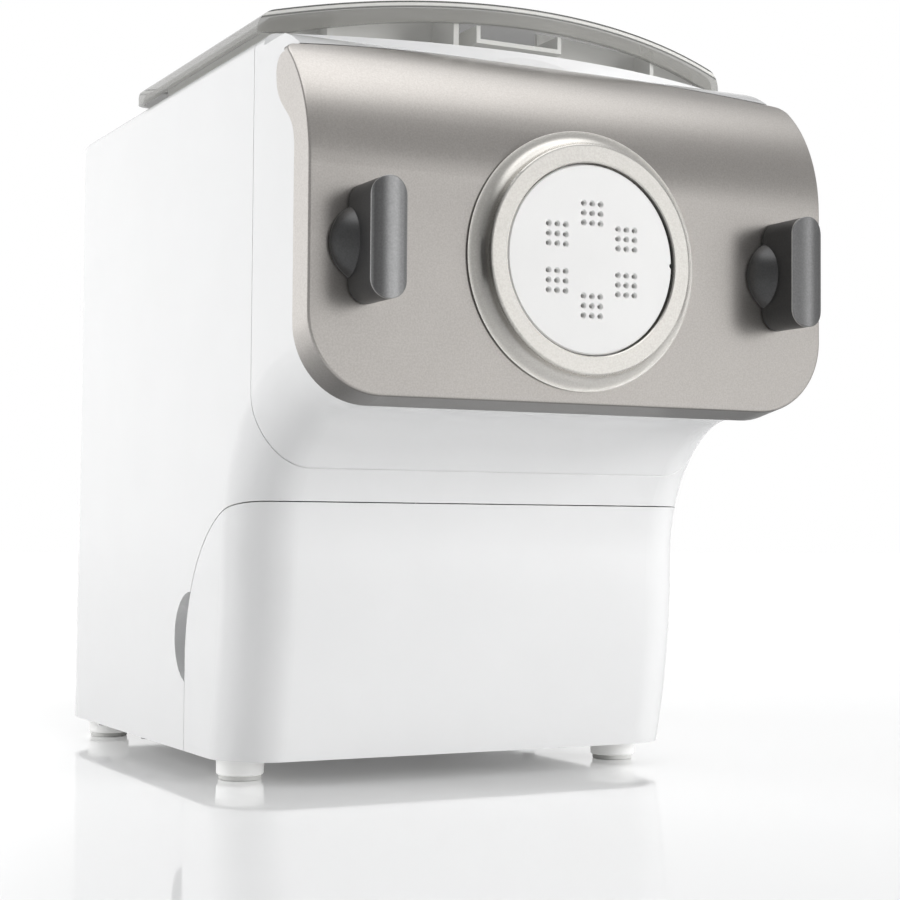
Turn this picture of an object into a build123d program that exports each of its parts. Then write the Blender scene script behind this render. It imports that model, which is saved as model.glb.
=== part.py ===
"""Electric pasta maker: a free-standing machine that mixes dough under a hinged lid and presses it
forwards through a shaping disc.

Frame: millimetres, +Z up, origin on the floor at the centre of the footprint box. The front faces -Y
and +X is on the right of someone who faces the machine. The mixing shaft runs along Y.
"""

import os
from math import cos, pi, radians, sin, sqrt

from build123d import *

os.makedirs("parts", exist_ok=True)

# ------------------------------------------------------------------ driving dimensions (mm)
# Casing
BODY_W = 195.0          # width over the white side walls
BODY_REAR = 163.0       # outer face of the rear wall
BODY_BOTTOM = 8.9       # lower edge of the casing above the floor
ROOF_Z = 271.0          # flat roof
WALL = 2.5              # thickness of every white shell
REAR_CORNER_R = 32.0
FRONT_CORNER_R = 22.0
ROOF_EDGE_R = 4.0
CHIN_Z = 136.9          # underside of the overhanging head
COVE_R = 51.4           # hollow curve between the head and the lower front
NECK_Y = -72.0          # front face where the hollow curve starts
APRON_R = 298.0         # slow curve of the lower front below the neck
SEAM_GAP = 0.4          # between shells that part

# Removable head
SEAM_Y = -79.5          # parting plane between the head and the housing
SEAM_FOOT_Y = -82.4     # where that seam leaves the underside
SEAM_FOOT_Z = 116.0
FASCIA_W = BODY_W + 13.0
FASCIA_FRONT = -146.5
FASCIA_TOP = 266.6
FASCIA_ARCH_R = 700.0   # the top edge is a shallow arch
ARCH_STEP = 0.2         # its crown lies this far below the casing's ledge
FASCIA_BOTTOM = 139.0
FASCIA_T = 2.2
FASCIA_FLARE = 2.6      # the underside drops by this much behind the front edge
FASCIA_FLANGE_T = 1.5   # flange that closes the side walls at the rear
FASCIA_LOW_R = 27.0
FASCIA_TOP_R = 4.0
BROW_R = 54.0           # the fascia rolls back over this radius at the top
BROW_Z = 215.0
CHEEK_Y = -133.5        # rear edge of the fascia's side walls
CHEEK_Z = 222.0         # above this the side walls widen
CHEEK_TOP = (-117.0, 250.0)
CHEEK_JOIN_Z = 256.0     # the side walls end in a tip here
HEAD_PLATE = 5.0        # double wall of the head behind the fascia
LIP_Y = -109.5          # front edge of the roof
LIP_STEP = 0.5          # ledge in front of the roof's bowed edge
LIP_R = 250.0           # the roof's front edge bows forwards over this radius

# Mixing and extruding line
AXIS_Z = 189.0
CHAMBER_R = 62.5        # inside radius of the trough
CHAMBER_WALL = 2.0
CHAMBER_FRONT = -75.5
CHAMBER_REAR = 40.0
CHAMBER_FLANGE = 6.0    # brim under the roof
DOOR_TOP = 258.0
BRIDGE_Z = 252.0         # the bulkhead closes the front above this
SHAFT_R = 7.95
SHAFT_NOSE_R = 5.0
RUNNING = 0.05          # radial clearance of a shaft in its bore
CLEAR = 0.4             # clearance between pieces that move apart
SCREW_R = 19.5
SCREW_CORE_R = 9.0
SCREW_PITCH = 24.0
SCREW_TURNS = 2.75
FLIGHT_T = 3.2
TUBE_R = 20.5
TUBE_WALL = 3.0

# Die ring and shaping disc
RING_FRONT = -154.0
RING_R = 40.4
RING_BASE_R = 43.6
RING_SKIRT_R = 45.8     # thin skirt in front of the fascia's opening
RING_SKIRT_T = 0.5
RING_SKIRT_GAP = 0.35   # between the skirt and the fascia
RING_FLARE_R = 5.2      # hollow curve from the ring's side out to its skirt
RING_BORE = 33.8
RING_LIP = 4.0
COLLAR_R = 50.0         # stiffening collar behind the fascia's round opening
COLLAR_LIP_R = 0.8      # rounded lip of that opening
EDGE_R = 0.8            # softened edge of the fascia
DISC_R = 33.2
DISC_FLANGE_R = 38.0
DISC_RECESS = 1.0
DISC_BOSS = 3.4
DISC_T = 8.0
HOLE_R = 0.8
HOLE_SINK_R = 1.25
HOLE_PITCH = 3.4
HOLE_GROUP_R = 16.2
HOLE_GROUPS = 6
SEAL_T = 2.0

# Clamp knobs
KNOB_X = BODY_W / 2 - 13.9
KNOB_FRONT = -166.5
KNOB_W = 13.0
KNOB_H = 40.0
KNOB_DEPTH = 19.4
KNOB_CROWN = 1.5        # rise of the grip's rounded face
KNOB_BASE_R = 13.4
KNOB_RIM_T = 1.5        # straight rim of the round base
KNOB_DOME = 9.9         # rise of the base's dome over its rim
BOLT_R = 5.0
BOLT_LUG = 15.0         # length of the bolt's cross bar
BOLT_LUG_T = 6.0

# Lid
LID_W = BODY_W + 4.0
LID_SETBACK = 1.2       # the lid's bowed front stands this far behind the roof's edge
LID_REAR = 52.5
LID_RISE = 16.2         # from the lid's rim to its crown
LID_ARC_R = 550.0       # radius of the shallow vault
LID_EDGE_R = 7.0        # rounded shoulder between the vault and the sides
LID_LIFT = 0.8
LID_WALL = 2.2
LID_CORNER_R = 5.0      # upright rear corners
LID_BAND = 7.3          # depth of the front band below the vault at the centre
HINGE_Y = 50.5
HINGE_Z = 276.0
HINGE_PIN_R = 2.0
HINGE_X = 69.0

# Drawer
DRAWER_SIDE_Y = -12.8   # rear edge of the drawer's side returns
DRAWER_TOP = 104.5
DRAWER_SEAM_R = 60.0
TRAY_W = BODY_W - 27.0
TRAY_REAR = 38.0
TRAY_FLOOR = 13.6
TRAY_TOP = 98.0
TRAY_WALL = 2.0
GRIP_R = 18.0           # crescent finger grips beside the drawer
GRIP_SAG = 12.3
GRIP_Z = 52.3
GRIP_DEPTH = 9.0

# Gear train (all shafts along Y, one above the other)
GEAR_FRONT = 46.0
GEAR_T = 8.0
OUT_TEETH = 75
IDLER_PINION_TEETH = 15
OUT_MODULE = 1.25
IDLER_TEETH = 60
MOTOR_TEETH = 14
MOTOR_MODULE = 1.0
GEARBOX_REAR = 66.0
GEARBOX_WALL = 3.0

# Motor
MOTOR_R = 35.0
MOTOR_LENGTH = 76.0
MOTOR_SHAFT_R = 3.0
FAN_R = 26.0

# Side control panel
PANEL_Y = -14.0
PANEL_Z = 222.0
PANEL_L = 104.0
PANEL_H = 50.0
PANEL_PROUD = 1.2
BUTTON_R = 7.0
BUTTON_PITCH = 20.0
BUTTON_TRAVEL = 1.5

# Feet
FOOT_X = BODY_W / 2 - 14.7
FOOT_FRONT_Y = -35.1
FOOT_REAR_Y = 131.1
FOOT_R = 9.2
FOOT_PAD_R = 8.1
FOOT_PAD_T = 1.3

# ------------------------------------------------------------------ worked-out sizes
HALF_W = BODY_W / 2
CHAMBER_OUT_R = CHAMBER_R + CHAMBER_WALL
IDLER_Z = AXIS_Z - OUT_MODULE * (OUT_TEETH + IDLER_PINION_TEETH) / 2
MOTOR_Z = IDLER_Z - MOTOR_MODULE * (IDLER_TEETH + MOTOR_TEETH) / 2
DISC_FRONT = RING_FRONT + DISC_RECESS
FLANGE_FRONT = DISC_FRONT + DISC_BOSS
DISC_REAR = DISC_FRONT + DISC_T
TUBE_FRONT = DISC_REAR + SEAL_T
FAR = 400.0             # longer than the machine, for cuts that go right through


# ------------------------------------------------------------------ shared outlines
def side_outline(inset, front, floor):
    """Side view of the casing, Y across and Z up, every wall moved inwards by inset."""
    rear = BODY_REAR - inset
    neck_z = CHIN_Z - COVE_R
    apron_c = NECK_Y + APRON_R
    apron_r = APRON_R - inset
    toe_y = apron_c - sqrt(apron_r ** 2 - (neck_z - floor) ** 2)
    shin_z = (neck_z + floor) / 2
    shin_y = apron_c - sqrt(apron_r ** 2 - (neck_z - shin_z) ** 2)
    cove_y = NECK_Y - COVE_R
    brow_c = front + BROW_R
    brow_r = BROW_R - inset
    brow_top = FASCIA_TOP - inset
    brow_end = brow_c - sqrt(brow_r ** 2 - (brow_top - BROW_Z) ** 2)
    roof = ROOF_Z - inset
    lip = LIP_Y + inset
    face = front + inset
    with BuildSketch() as outline:
        with BuildLine():
            Polyline((toe_y, floor), (rear, floor), (rear, roof), (lip, roof), (brow_end, brow_top))
            RadiusArc((brow_end, brow_top), (face, BROW_Z), -brow_r)
            Polyline((face, BROW_Z), (face, CHIN_Z + inset), (cove_y, CHIN_Z + inset))
            RadiusArc((cove_y, CHIN_Z + inset), (NECK_Y + inset, neck_z), COVE_R + inset)
            ThreePointArc((NECK_Y + inset, neck_z), (shin_y, shin_z), (toe_y, floor))
        make_face()
    return outline.sketch


def casing(inset, front, floor):
    """The whole casing as one solid with its corners rounded, every wall moved inwards by inset."""
    half = HALF_W - inset
    with BuildPart() as form:
        with BuildSketch(Plane.YZ):
            add(side_outline(inset, front, floor))
        extrude(amount=half, both=True)
        upright = form.edges().filter_by(Axis.Z).filter_by(lambda e: (e @ 0.5).Y > BODY_REAR - inset - 1)
        fillet(upright, REAR_CORNER_R - inset)
        on_side = form.edges().filter_by(lambda e: abs(abs((e @ 0.5).X) - half) < 0.01)
        front_chain = on_side.filter_by(lambda e: (e @ 0.5).Y < NECK_Y + FRONT_CORNER_R)
        front_chain = front_chain.filter_by(lambda e: floor + 1 < (e @ 0.5).Z < CHIN_Z + inset + 1)
        fillet(front_chain, FRONT_CORNER_R - inset)
        roof_edge = form.edges().filter_by(lambda e: abs((e @ 0.5).Z - ROOF_Z + inset) < 0.01)
        fillet(roof_edge.filter_by(lambda e: (e @ 0.5).Y > LIP_Y + 5), ROOF_EDGE_R - inset)
        with BuildSketch(Plane.XY.offset(FASCIA_TOP - inset)) as ahead:
            with Locations((0, LIP_Y)):
                Rectangle(BODY_W + 2, LIP_R / 2)
            with Locations((0, LIP_Y + LIP_STEP + LIP_R)):
                Circle(LIP_R - inset, mode=Mode.SUBTRACT)
        extrude(ahead.sketch, amount=ROOF_Z - FASCIA_TOP + 1, mode=Mode.SUBTRACT)
    return form.part


def head_region(gap):
    """Side view of the space in front of the head's parting line."""
    with BuildSketch() as region:
        with BuildLine():
            Polyline(
                (SEAM_Y - gap, FAR),
                (SEAM_Y - gap, CHIN_Z),
                (SEAM_FOOT_Y - gap, SEAM_FOOT_Z + gap),
                (-FAR, SEAM_FOOT_Z + gap),
                (-FAR, FAR),
                close=True,
            )
        make_face()
    return region.sketch


def drawer_region(gap):
    """Side view of the space in front of and below the drawer's parting line."""
    rear = DRAWER_SIDE_Y - gap
    top = DRAWER_TOP - gap
    turn = DRAWER_SEAM_R
    with BuildSketch() as region:
        with BuildLine():
            Line((rear, -FAR), (rear, top - turn))
            RadiusArc((rear, top - turn), (rear - turn, top), -turn)
            Polyline((rear - turn, top), (-FAR, top), (-FAR, -FAR), (rear, -FAR))
        make_face()
    return region.sketch


def through_x(outline):
    """A prism across the whole width from a side view."""
    with BuildPart() as prism:
        with BuildSketch(Plane.YZ):
            add(outline)
        extrude(amount=FAR, both=True)
    return prism.part


def through_y(outline, front, rear):
    """A prism along Y from a front view (X across, Z up)."""
    with BuildPart() as prism:
        with BuildSketch(Plane.XZ.offset(-rear)):
            add(outline)
        extrude(amount=rear - front)
    return prism.part


# The next four helpers draw into the part that is being built.
def bar(x, y, z, mode=Mode.ADD):
    """A box from its ranges along X, Y and Z."""
    with Locations(((x[0] + x[1]) / 2, (y[0] + y[1]) / 2, (z[0] + z[1]) / 2)):
        Box(x[1] - x[0], y[1] - y[0], z[1] - z[0], mode=mode)


def rod_y(radius, y, x=0.0, z=AXIS_Z, mode=Mode.ADD):
    """A cylinder along Y."""
    with BuildSketch(Plane.XZ.offset(-y[1])) as section:
        with Locations((x, z)):
            Circle(radius)
    extrude(section.sketch, amount=y[1] - y[0], mode=mode)


def rod_x(radius, x, y, z, mode=Mode.ADD):
    """A cylinder along X."""
    with BuildSketch(Plane.YZ.offset(x[0])) as section:
        with Locations((y, z)):
            Circle(radius)
    extrude(section.sketch, amount=x[1] - x[0], mode=mode)


def turn_y(points, x=0.0, z=AXIS_Z, mode=Mode.ADD):
    """A turned shape about a line along Y, from (radius, y) points."""
    with BuildSketch(Plane.XY.offset(z)) as section:
        with BuildLine():
            Polyline(*[(x + radius, y) for radius, y in points], close=True)
        make_face()
    revolve(section.sketch, axis=Axis((x, 0, z), (0, 1, 0)), mode=mode)


def fascia_front_outline(grow, flare):
    """Front view of the fascia, X across and Z up, with its underside lowered by flare."""
    low = FASCIA_BOTTOM - grow - flare
    half = FASCIA_W / 2 + grow
    crown = FASCIA_TOP - ARCH_STEP + grow
    shoulder = crown - FASCIA_ARCH_R + sqrt(FASCIA_ARCH_R ** 2 - half ** 2)
    with BuildSketch() as outline:
        with BuildLine():
            Polyline((-half, shoulder), (-half, low), (half, low), (half, shoulder))
            ThreePointArc((half, shoulder), (0, crown), (-half, shoulder))
        make_face()
        fillet(outline.vertices().group_by(Axis.Y)[0], FASCIA_LOW_R + grow)
        fillet(outline.vertices().group_by(Axis.Y)[-1], FASCIA_TOP_R + grow)
    return outline.sketch


def fascia_block(grow):
    """The space inside the fascia's outline, whose underside flares down behind the front edge."""
    with BuildPart() as block:
        with BuildSketch(Plane.XZ.offset(-FASCIA_FRONT)):
            add(fascia_front_outline(grow, 0))
        with BuildSketch(Plane.XZ.offset(-CHEEK_Y)):
            add(fascia_front_outline(grow, FASCIA_FLARE))
        loft(ruled=True)
        with BuildSketch(Plane.XZ) as rear:
            add(fascia_front_outline(grow, FASCIA_FLARE))
        extrude(rear.sketch, amount=-CHEEK_Y)
    return block.part


BROW_C = FASCIA_FRONT + BROW_R
BROW_RISE = (FASCIA_TOP - BROW_Z) / BROW_R
BROW_RUN = sqrt(1 - BROW_RISE ** 2)


def brow_point(radius):
    """Where a line from the brow's centre through the fascia's top edge meets this radius."""
    return (BROW_C - radius * BROW_RUN, BROW_Z + radius * BROW_RISE)


def dist_brow(point):
    """Distance of a point from the brow's axis, in side view."""
    return sqrt((point.Y - BROW_C) ** 2 + (point.Z - BROW_Z) ** 2)


def fascia_side_outline(gap, front):
    """Side view of the space that the fascia fills, from its rear edge forward to front."""
    inner = BROW_R - FASCIA_T - gap
    low = FASCIA_BOTTOM - FASCIA_FLARE - gap
    cheek = (CHEEK_Y + gap, CHEEK_Z)
    widest = (CHEEK_TOP[0] + gap, CHEEK_TOP[1])
    join = (BROW_C - sqrt(inner ** 2 - (CHEEK_JOIN_Z - BROW_Z) ** 2), CHEEK_JOIN_Z)
    top = (brow_point(BROW_R)[0], FASCIA_TOP + gap)
    with BuildSketch() as outline:
        with BuildLine():
            Line((cheek[0], low), cheek)
            Spline(cheek, widest, tangents=((0, 1), (0, 1)))
            TangentArc(widest, join, tangent=(0, 1))
            RadiusArc(join, brow_point(inner), inner)
            Polyline(brow_point(inner), top, (front, top[1]), (front, low), (cheek[0], low))
        make_face()
    return outline.sketch


def behind_skin(skin):
    """Side view of everything behind the fascia's front skin."""
    inner = BROW_R - skin
    top = brow_point(inner)
    with BuildSketch() as outline:
        with BuildLine():
            RadiusArc((FASCIA_FRONT + skin, BROW_Z), top, inner)
            Polyline(
                top,
                (FAR, top[1]),
                (FAR, -FAR),
                (FASCIA_FRONT + skin, -FAR),
                (FASCIA_FRONT + skin, BROW_Z),
            )
        make_face()
    return outline.sketch


# ------------------------------------------------------------------ forms shared by the shells
whole = casing(0, FASCIA_FRONT, BODY_BOTTOM)
open_floor = BODY_BOTTOM - 4
shell_space = casing(WALL, FASCIA_FRONT, open_floor)

HUB_BORE = RING_BASE_R + CLEAR
PLATE_REAR = CHEEK_Y + HEAD_PLATE
LUG_R = RING_BASE_R + 3.5
LUG_T = 3.0
LUG_W = 10.0
RING_REAR = PLATE_REAR + CLEAR + LUG_T
DOOR_FRONT = SEAM_Y - 6.8
DOOR_REAR = DOOR_FRONT + 4.0
DOOR_HALF = HALF_W - 20.5
POST_X = DOOR_HALF - 5.0
POST_Z = (150.0, 247.0)
POSTS = [(x, z) for x in (-POST_X, POST_X) for z in POST_Z]
POST_R = 4.5
SCREW_R_M3 = 1.5

# ------------------------------------------------------------------ fascia
with BuildPart() as fascia_hollow:
    add(Pos(0, -FASCIA_FLANGE_T, 0) * through_x(fascia_side_outline(0, -FAR)))
    bar((-HALF_W - CLEAR, HALF_W + CLEAR), (-FAR, 0), (0, FAR))
    add(fascia_block(-FASCIA_T), mode=Mode.INTERSECT)
    add(through_x(behind_skin(FASCIA_T)), mode=Mode.INTERSECT)

with BuildPart() as fascia_collar:
    rod_y(COLLAR_R, (FASCIA_FRONT, CHEEK_Y))
    add(through_x(behind_skin(FASCIA_T / 2)), mode=Mode.INTERSECT)

with BuildPart() as front_fascia:
    add(through_x(fascia_side_outline(0, -FAR)))
    add(fascia_block(0), mode=Mode.INTERSECT)
    add(through_x(behind_skin(0)), mode=Mode.INTERSECT)
    add(fascia_hollow.part, mode=Mode.SUBTRACT)
    add(fascia_collar.part)
    rod_y(HUB_BORE, (FASCIA_FRONT - 1, CHEEK_Y + 1), mode=Mode.SUBTRACT)
    front_rim = front_fascia.edges().filter_by(lambda e: abs((e @ 0.5).Y - FASCIA_FRONT) < 0.01)
    fillet(front_rim.filter_by(GeomType.CIRCLE).filter_by(lambda e: e.length > 2 * RING_BASE_R), COLLAR_LIP_R)
    for side in (-1, 1):
        rod_y(BOLT_R + CLEAR, (-FAR, 0), side * KNOB_X, mode=Mode.SUBTRACT)
    skin_face = front_fascia.faces().filter_by(GeomType.PLANE).filter_by(
        lambda f: abs(f.center().Y - FASCIA_FRONT) < 0.01).sort_by(SortBy.AREA)[-1]
    rim_edge = skin_face.outer_wire().edges().filter_by(lambda e: (e @ 0.5).Z < BROW_Z - 1)
    brow_edge = front_fascia.edges().filter_by(
        lambda e: BROW_Z < (e @ 0.5).Z < FASCIA_TOP - 1 and abs(dist_brow(e @ 0.5) - BROW_R) < 0.01
        and abs((e @ 0.5).X) > FASCIA_W / 2 - FASCIA_TOP_R)
    fillet(rim_edge + brow_edge, EDGE_R)

# ------------------------------------------------------------------ removable head
with BuildPart() as front_frame:
    add(whole)
    add(through_x(head_region(SEAM_GAP)), mode=Mode.INTERSECT)
    pocket = through_y(fascia_front_outline(CLEAR, FASCIA_FLARE), -FAR, 0)
    add(through_x(fascia_side_outline(0, -FAR)) & pocket, mode=Mode.SUBTRACT)
    add(casing(WALL, PLATE_REAR - WALL, open_floor), mode=Mode.SUBTRACT)
    for x, z in POSTS:
        rod_y(POST_R, (PLATE_REAR - 0.5, DOOR_FRONT), x, z)
        rod_y(SCREW_R_M3, (PLATE_REAR + 20, DOOR_FRONT + 1), x, z, mode=Mode.SUBTRACT)
    rod_y(HUB_BORE, (-FAR, PLATE_REAR + 1), mode=Mode.SUBTRACT)
    rod_y(LUG_R + CLEAR, (PLATE_REAR, RING_REAR + CLEAR), mode=Mode.SUBTRACT)
    for turn in (45, 165, 285):
        with BuildSketch(Plane.XZ.offset(-PLATE_REAR - 1)) as notch:
            with Locations(Location((0, AXIS_Z), turn)):
                Rectangle(LUG_R + CLEAR, LUG_W + 2 * CLEAR, align=(Align.MIN, Align.CENTER))
        extrude(notch.sketch, amount=HEAD_PLATE + 2, mode=Mode.SUBTRACT)
    for side in (-1, 1):
        rod_y(BOLT_R + CLEAR, (-FAR, 0), side * KNOB_X, mode=Mode.SUBTRACT)

# The die ring hooks into the head with three lugs behind its plate.
with BuildPart() as die_ring:
    cup_front = RING_FRONT + RING_LIP
    skirt_rear = FASCIA_FRONT - RING_SKIRT_GAP
    skirt_front = skirt_rear - RING_SKIRT_T
    turn_y([(RING_BORE, RING_FRONT), (RING_R, RING_FRONT), (RING_R, skirt_front), (RING_SKIRT_R, skirt_front),
            (RING_SKIRT_R, skirt_rear), (RING_BASE_R, skirt_rear), (RING_BASE_R, RING_REAR),
            (DISC_FLANGE_R + CLEAR, RING_REAR), (DISC_FLANGE_R + CLEAR, cup_front), (RING_BORE, cup_front)])
    shelf = die_ring.edges().filter_by(lambda e: abs((e @ 0.5).Y - skirt_front) < 0.01)
    fillet(shelf.filter_by(lambda e: e.length < 2 * pi * (RING_R + 1)), RING_FLARE_R)
    rims = die_ring.edges().filter_by(lambda e: abs((e @ 0.5).Y - RING_FRONT) < 0.01)
    fillet(rims.filter_by(lambda e: e.length > 2 * pi * (RING_R - 1)), EDGE_R)
    chamfer(rims.filter_by(lambda e: e.length < 2 * pi * (RING_BORE + 1)), EDGE_R / 2)
    for turn in (0, 120, 240):
        with BuildSketch(Plane.XZ.offset(-RING_REAR)) as lug:
            with Locations(Location((0, AXIS_Z), turn)):
                with Locations((RING_BASE_R - 2, 0)):
                    Rectangle(LUG_R - RING_BASE_R + 2, LUG_W, align=(Align.MIN, Align.CENTER))
        extrude(lug.sketch, amount=LUG_T)

# Shaping disc: a moulded die with six groups of nine noodle holes.
with BuildPart() as shaping_disc:
    turn_y([(0, DISC_FRONT), (DISC_R - 0.5, DISC_FRONT), (DISC_R, DISC_FRONT + 0.5),
            (DISC_R, FLANGE_FRONT), (DISC_FLANGE_R, FLANGE_FRONT), (DISC_FLANGE_R, DISC_REAR),
            (DISC_R - 2, DISC_REAR), (DISC_R - 3, DISC_REAR - 2), (0, DISC_REAR - 2)])
    with BuildSketch(Plane.XZ.offset(-DISC_FRONT)) as holes:
        with Locations((0, AXIS_Z)):
            with PolarLocations(HOLE_GROUP_R, HOLE_GROUPS, start_angle=90, rotate=False):
                with GridLocations(HOLE_PITCH, HOLE_PITCH, 3, 3):
                    Circle(HOLE_R)
    extrude(holes.sketch, amount=-DISC_T, mode=Mode.SUBTRACT)
    with BuildSketch(Plane.XZ.offset(-DISC_FRONT)) as sinks:
        with Locations((0, AXIS_Z)):
            with PolarLocations(HOLE_GROUP_R, HOLE_GROUPS, start_angle=90, rotate=False):
                with GridLocations(HOLE_PITCH, HOLE_PITCH, 3, 3):
                    Circle(HOLE_SINK_R)
    extrude(sinks.sketch, amount=-0.5, taper=40, mode=Mode.SUBTRACT)
    with BuildSketch(Plane.XZ.offset(-DISC_FRONT)) as key:
        with Locations((DISC_R, AXIS_Z)):
            Circle(1.0)
    extrude(key.sketch, amount=-DISC_BOSS, mode=Mode.SUBTRACT)

SEAT_R = TUBE_R + TUBE_WALL
with BuildPart() as disc_seal:
    turn_y([(DISC_R, DISC_REAR), (DISC_FLANGE_R, DISC_REAR), (DISC_FLANGE_R, TUBE_FRONT), (DISC_R, TUBE_FRONT)])

# Extruding tube: a funnel that guides the screw and presses the disc against the ring.
TUBE_FLANGE_T = 4.0
with BuildPart() as extruding_tube:
    turn_y([(TUBE_R, TUBE_FRONT), (DISC_FLANGE_R, TUBE_FRONT), (DISC_FLANGE_R, TUBE_FRONT + TUBE_FLANGE_T),
            (SEAT_R, TUBE_FRONT + TUBE_FLANGE_T), (SEAT_R, DOOR_REAR), (TUBE_R, DOOR_REAR)])

# Chamber door: closes the trough behind the head, with a hub that carries the extruding tube.
with BuildPart() as chamber_door:
    with BuildSketch(Plane.XZ.offset(-DOOR_REAR)) as plate:
        with Locations((0, (AXIS_Z - CHAMBER_OUT_R + DOOR_TOP) / 2)):
            RectangleRounded(2 * DOOR_HALF, DOOR_TOP - AXIS_Z + CHAMBER_OUT_R, 12)
    extrude(plate.sketch, amount=DOOR_REAR - DOOR_FRONT)
    hub_r = SEAT_R + RUNNING
    hub_front = TUBE_FRONT + TUBE_FLANGE_T
    turn_y([(hub_r, hub_front), (hub_r + 6, hub_front), (hub_r + 3, hub_front + 8), (hub_r + 3, DOOR_REAR),
            (hub_r, DOOR_REAR)])
    rod_y(hub_r, (hub_front - 1, DOOR_REAR + 1), mode=Mode.SUBTRACT)
    for x, z in POSTS:
        rod_y(SCREW_R_M3 + 0.2, (DOOR_FRONT - 1, DOOR_REAR + 1), x, z, mode=Mode.SUBTRACT)


def screw_y(head_y, length, x, z, direction):
    """A pan-head M3 screw along Y. direction is the way its shank points."""
    tip = head_y + direction * length
    rod_y(SCREW_R_M3 - RUNNING, (min(head_y, tip), max(head_y, tip)), x, z)
    crown = head_y - direction * 1.8
    rod_y(2.8, (min(head_y, crown), max(head_y, crown)), x, z)


with BuildPart() as head_screws:
    for x, z in POSTS:
        screw_y(DOOR_REAR, 12.0, x, z, -1)

# ------------------------------------------------------------------ clamp knobs
BULKHEAD_FRONT = SEAM_Y + SEAM_GAP + 0.2
BULKHEAD_REAR = BULKHEAD_FRONT + 4.0
KNOB_BACK = FASCIA_FRONT - 0.4


def knob_grip(side):
    """Upright grip with rounded ends on a round base."""
    with BuildPart() as grip:
        grip_back = KNOB_FRONT + KNOB_DEPTH
        with BuildSketch(Plane.XZ.offset(-grip_back)) as outline:
            with Locations(Location((side * KNOB_X, AXIS_Z), 90)):
                SlotOverall(KNOB_H, KNOB_W)
        extrude(outline.sketch, amount=KNOB_DEPTH)
        crown_r = ((KNOB_W / 2) ** 2 + KNOB_CROWN ** 2) / (2 * KNOB_CROWN)
        with Locations((side * KNOB_X, KNOB_FRONT + crown_r, AXIS_Z)):
            Cylinder(crown_r, KNOB_H + 2, mode=Mode.INTERSECT)
        fillet(grip.faces().sort_by(Axis.Y)[0].edges(), EDGE_R / 2)
        dome_r = (KNOB_BASE_R ** 2 + KNOB_DOME ** 2) / (2 * KNOB_DOME)
        rim_front = KNOB_BACK - KNOB_RIM_T
        rod_y(KNOB_BASE_R, (rim_front, KNOB_BACK), side * KNOB_X)
        with BuildSketch(Plane.XY.offset(AXIS_Z)) as dome:
            with BuildLine():
                Polyline((0, rim_front - KNOB_DOME), (0, rim_front), (KNOB_BASE_R, rim_front))
                RadiusArc((KNOB_BASE_R, rim_front), (0, rim_front - KNOB_DOME), dome_r)
            make_face()
        turned = revolve(dome.sketch, axis=Axis((0, 0, AXIS_Z), (0, 1, 0)), mode=Mode.PRIVATE)
        add(Pos(side * KNOB_X, 0, 0) * turned)
        rod_y(BOLT_R, (KNOB_FRONT + 6, KNOB_BACK + 1), side * KNOB_X, mode=Mode.SUBTRACT)
    return grip


def clamp_bolt(side):
    """Bolt that turns with the knob and hooks behind the bulkhead."""
    x = side * KNOB_X
    with BuildPart() as bolt:
        rod_y(BOLT_R, (KNOB_FRONT + 6, BULKHEAD_REAR + 6), x)
        lug_y = (BULKHEAD_REAR + CLEAR, BULKHEAD_REAR + 4)
        lug_z = (AXIS_Z - BOLT_LUG_T / 2, AXIS_Z + BOLT_LUG_T / 2)
        bar((x - BOLT_LUG / 2, x + BOLT_LUG / 2), lug_y, lug_z)
    return bolt


left_knob = knob_grip(-1)
right_knob = knob_grip(1)
left_clamp_bolt = clamp_bolt(-1)
right_clamp_bolt = clamp_bolt(1)

# ------------------------------------------------------------------ lid
LID_BASE = ROOF_Z + LID_LIFT
LID_CROWN = LID_BASE + LID_RISE
LID_HALF = LID_W / 2
LID_FRONT = LIP_Y + LIP_STEP + LID_SETBACK
KNUCKLE_R = 4.2
KNUCKLE_X = (HINGE_X + 4.0, HINGE_X + 14.0)
EAR_HALF_X = 3.0
EAR_R = 4.0
SLOT_HALF = EAR_HALF_X + 0.6    # half the width of the slots around the hinge ears
LINER_FRONT = LID_FRONT + 22.0
LINER_REAR = LID_REAR - 12.0
LINER_HALF = LID_HALF - 8.0
LINER_T = 1.6
LINER_CORNER_R = 8.0
LINER_RIBS = (-74.0, -28.0, 61.0)
RIB_GAP = 0.8            # between the ribs and the front band
CHUTE_X = (-20.0, 16.0)
CHUTE_WALL = 1.6
MAGNET_Y = LINER_FRONT + 30.0
MAGNET_W = 8.0
MAGNET_X = LINER_HALF - LINER_T - MAGNET_W / 2


def vault_outline(inset, base):
    """Front view of the lid: upright side walls under a shallow arch with rounded shoulders."""
    half = LID_HALF - inset
    centre_z = LID_CROWN - LID_ARC_R
    radius = LID_ARC_R - inset
    rim = centre_z + sqrt(radius ** 2 - half ** 2)
    with BuildSketch() as outline:
        with BuildLine():
            Polyline((-half, rim), (-half, base), (half, base), (half, rim))
            ThreePointArc((half, rim), (0, centre_z + radius), (-half, rim))
        make_face()
        fillet(outline.vertices().group_by(Axis.Y)[-1], LID_EDGE_R - inset)
    return outline.sketch


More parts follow.
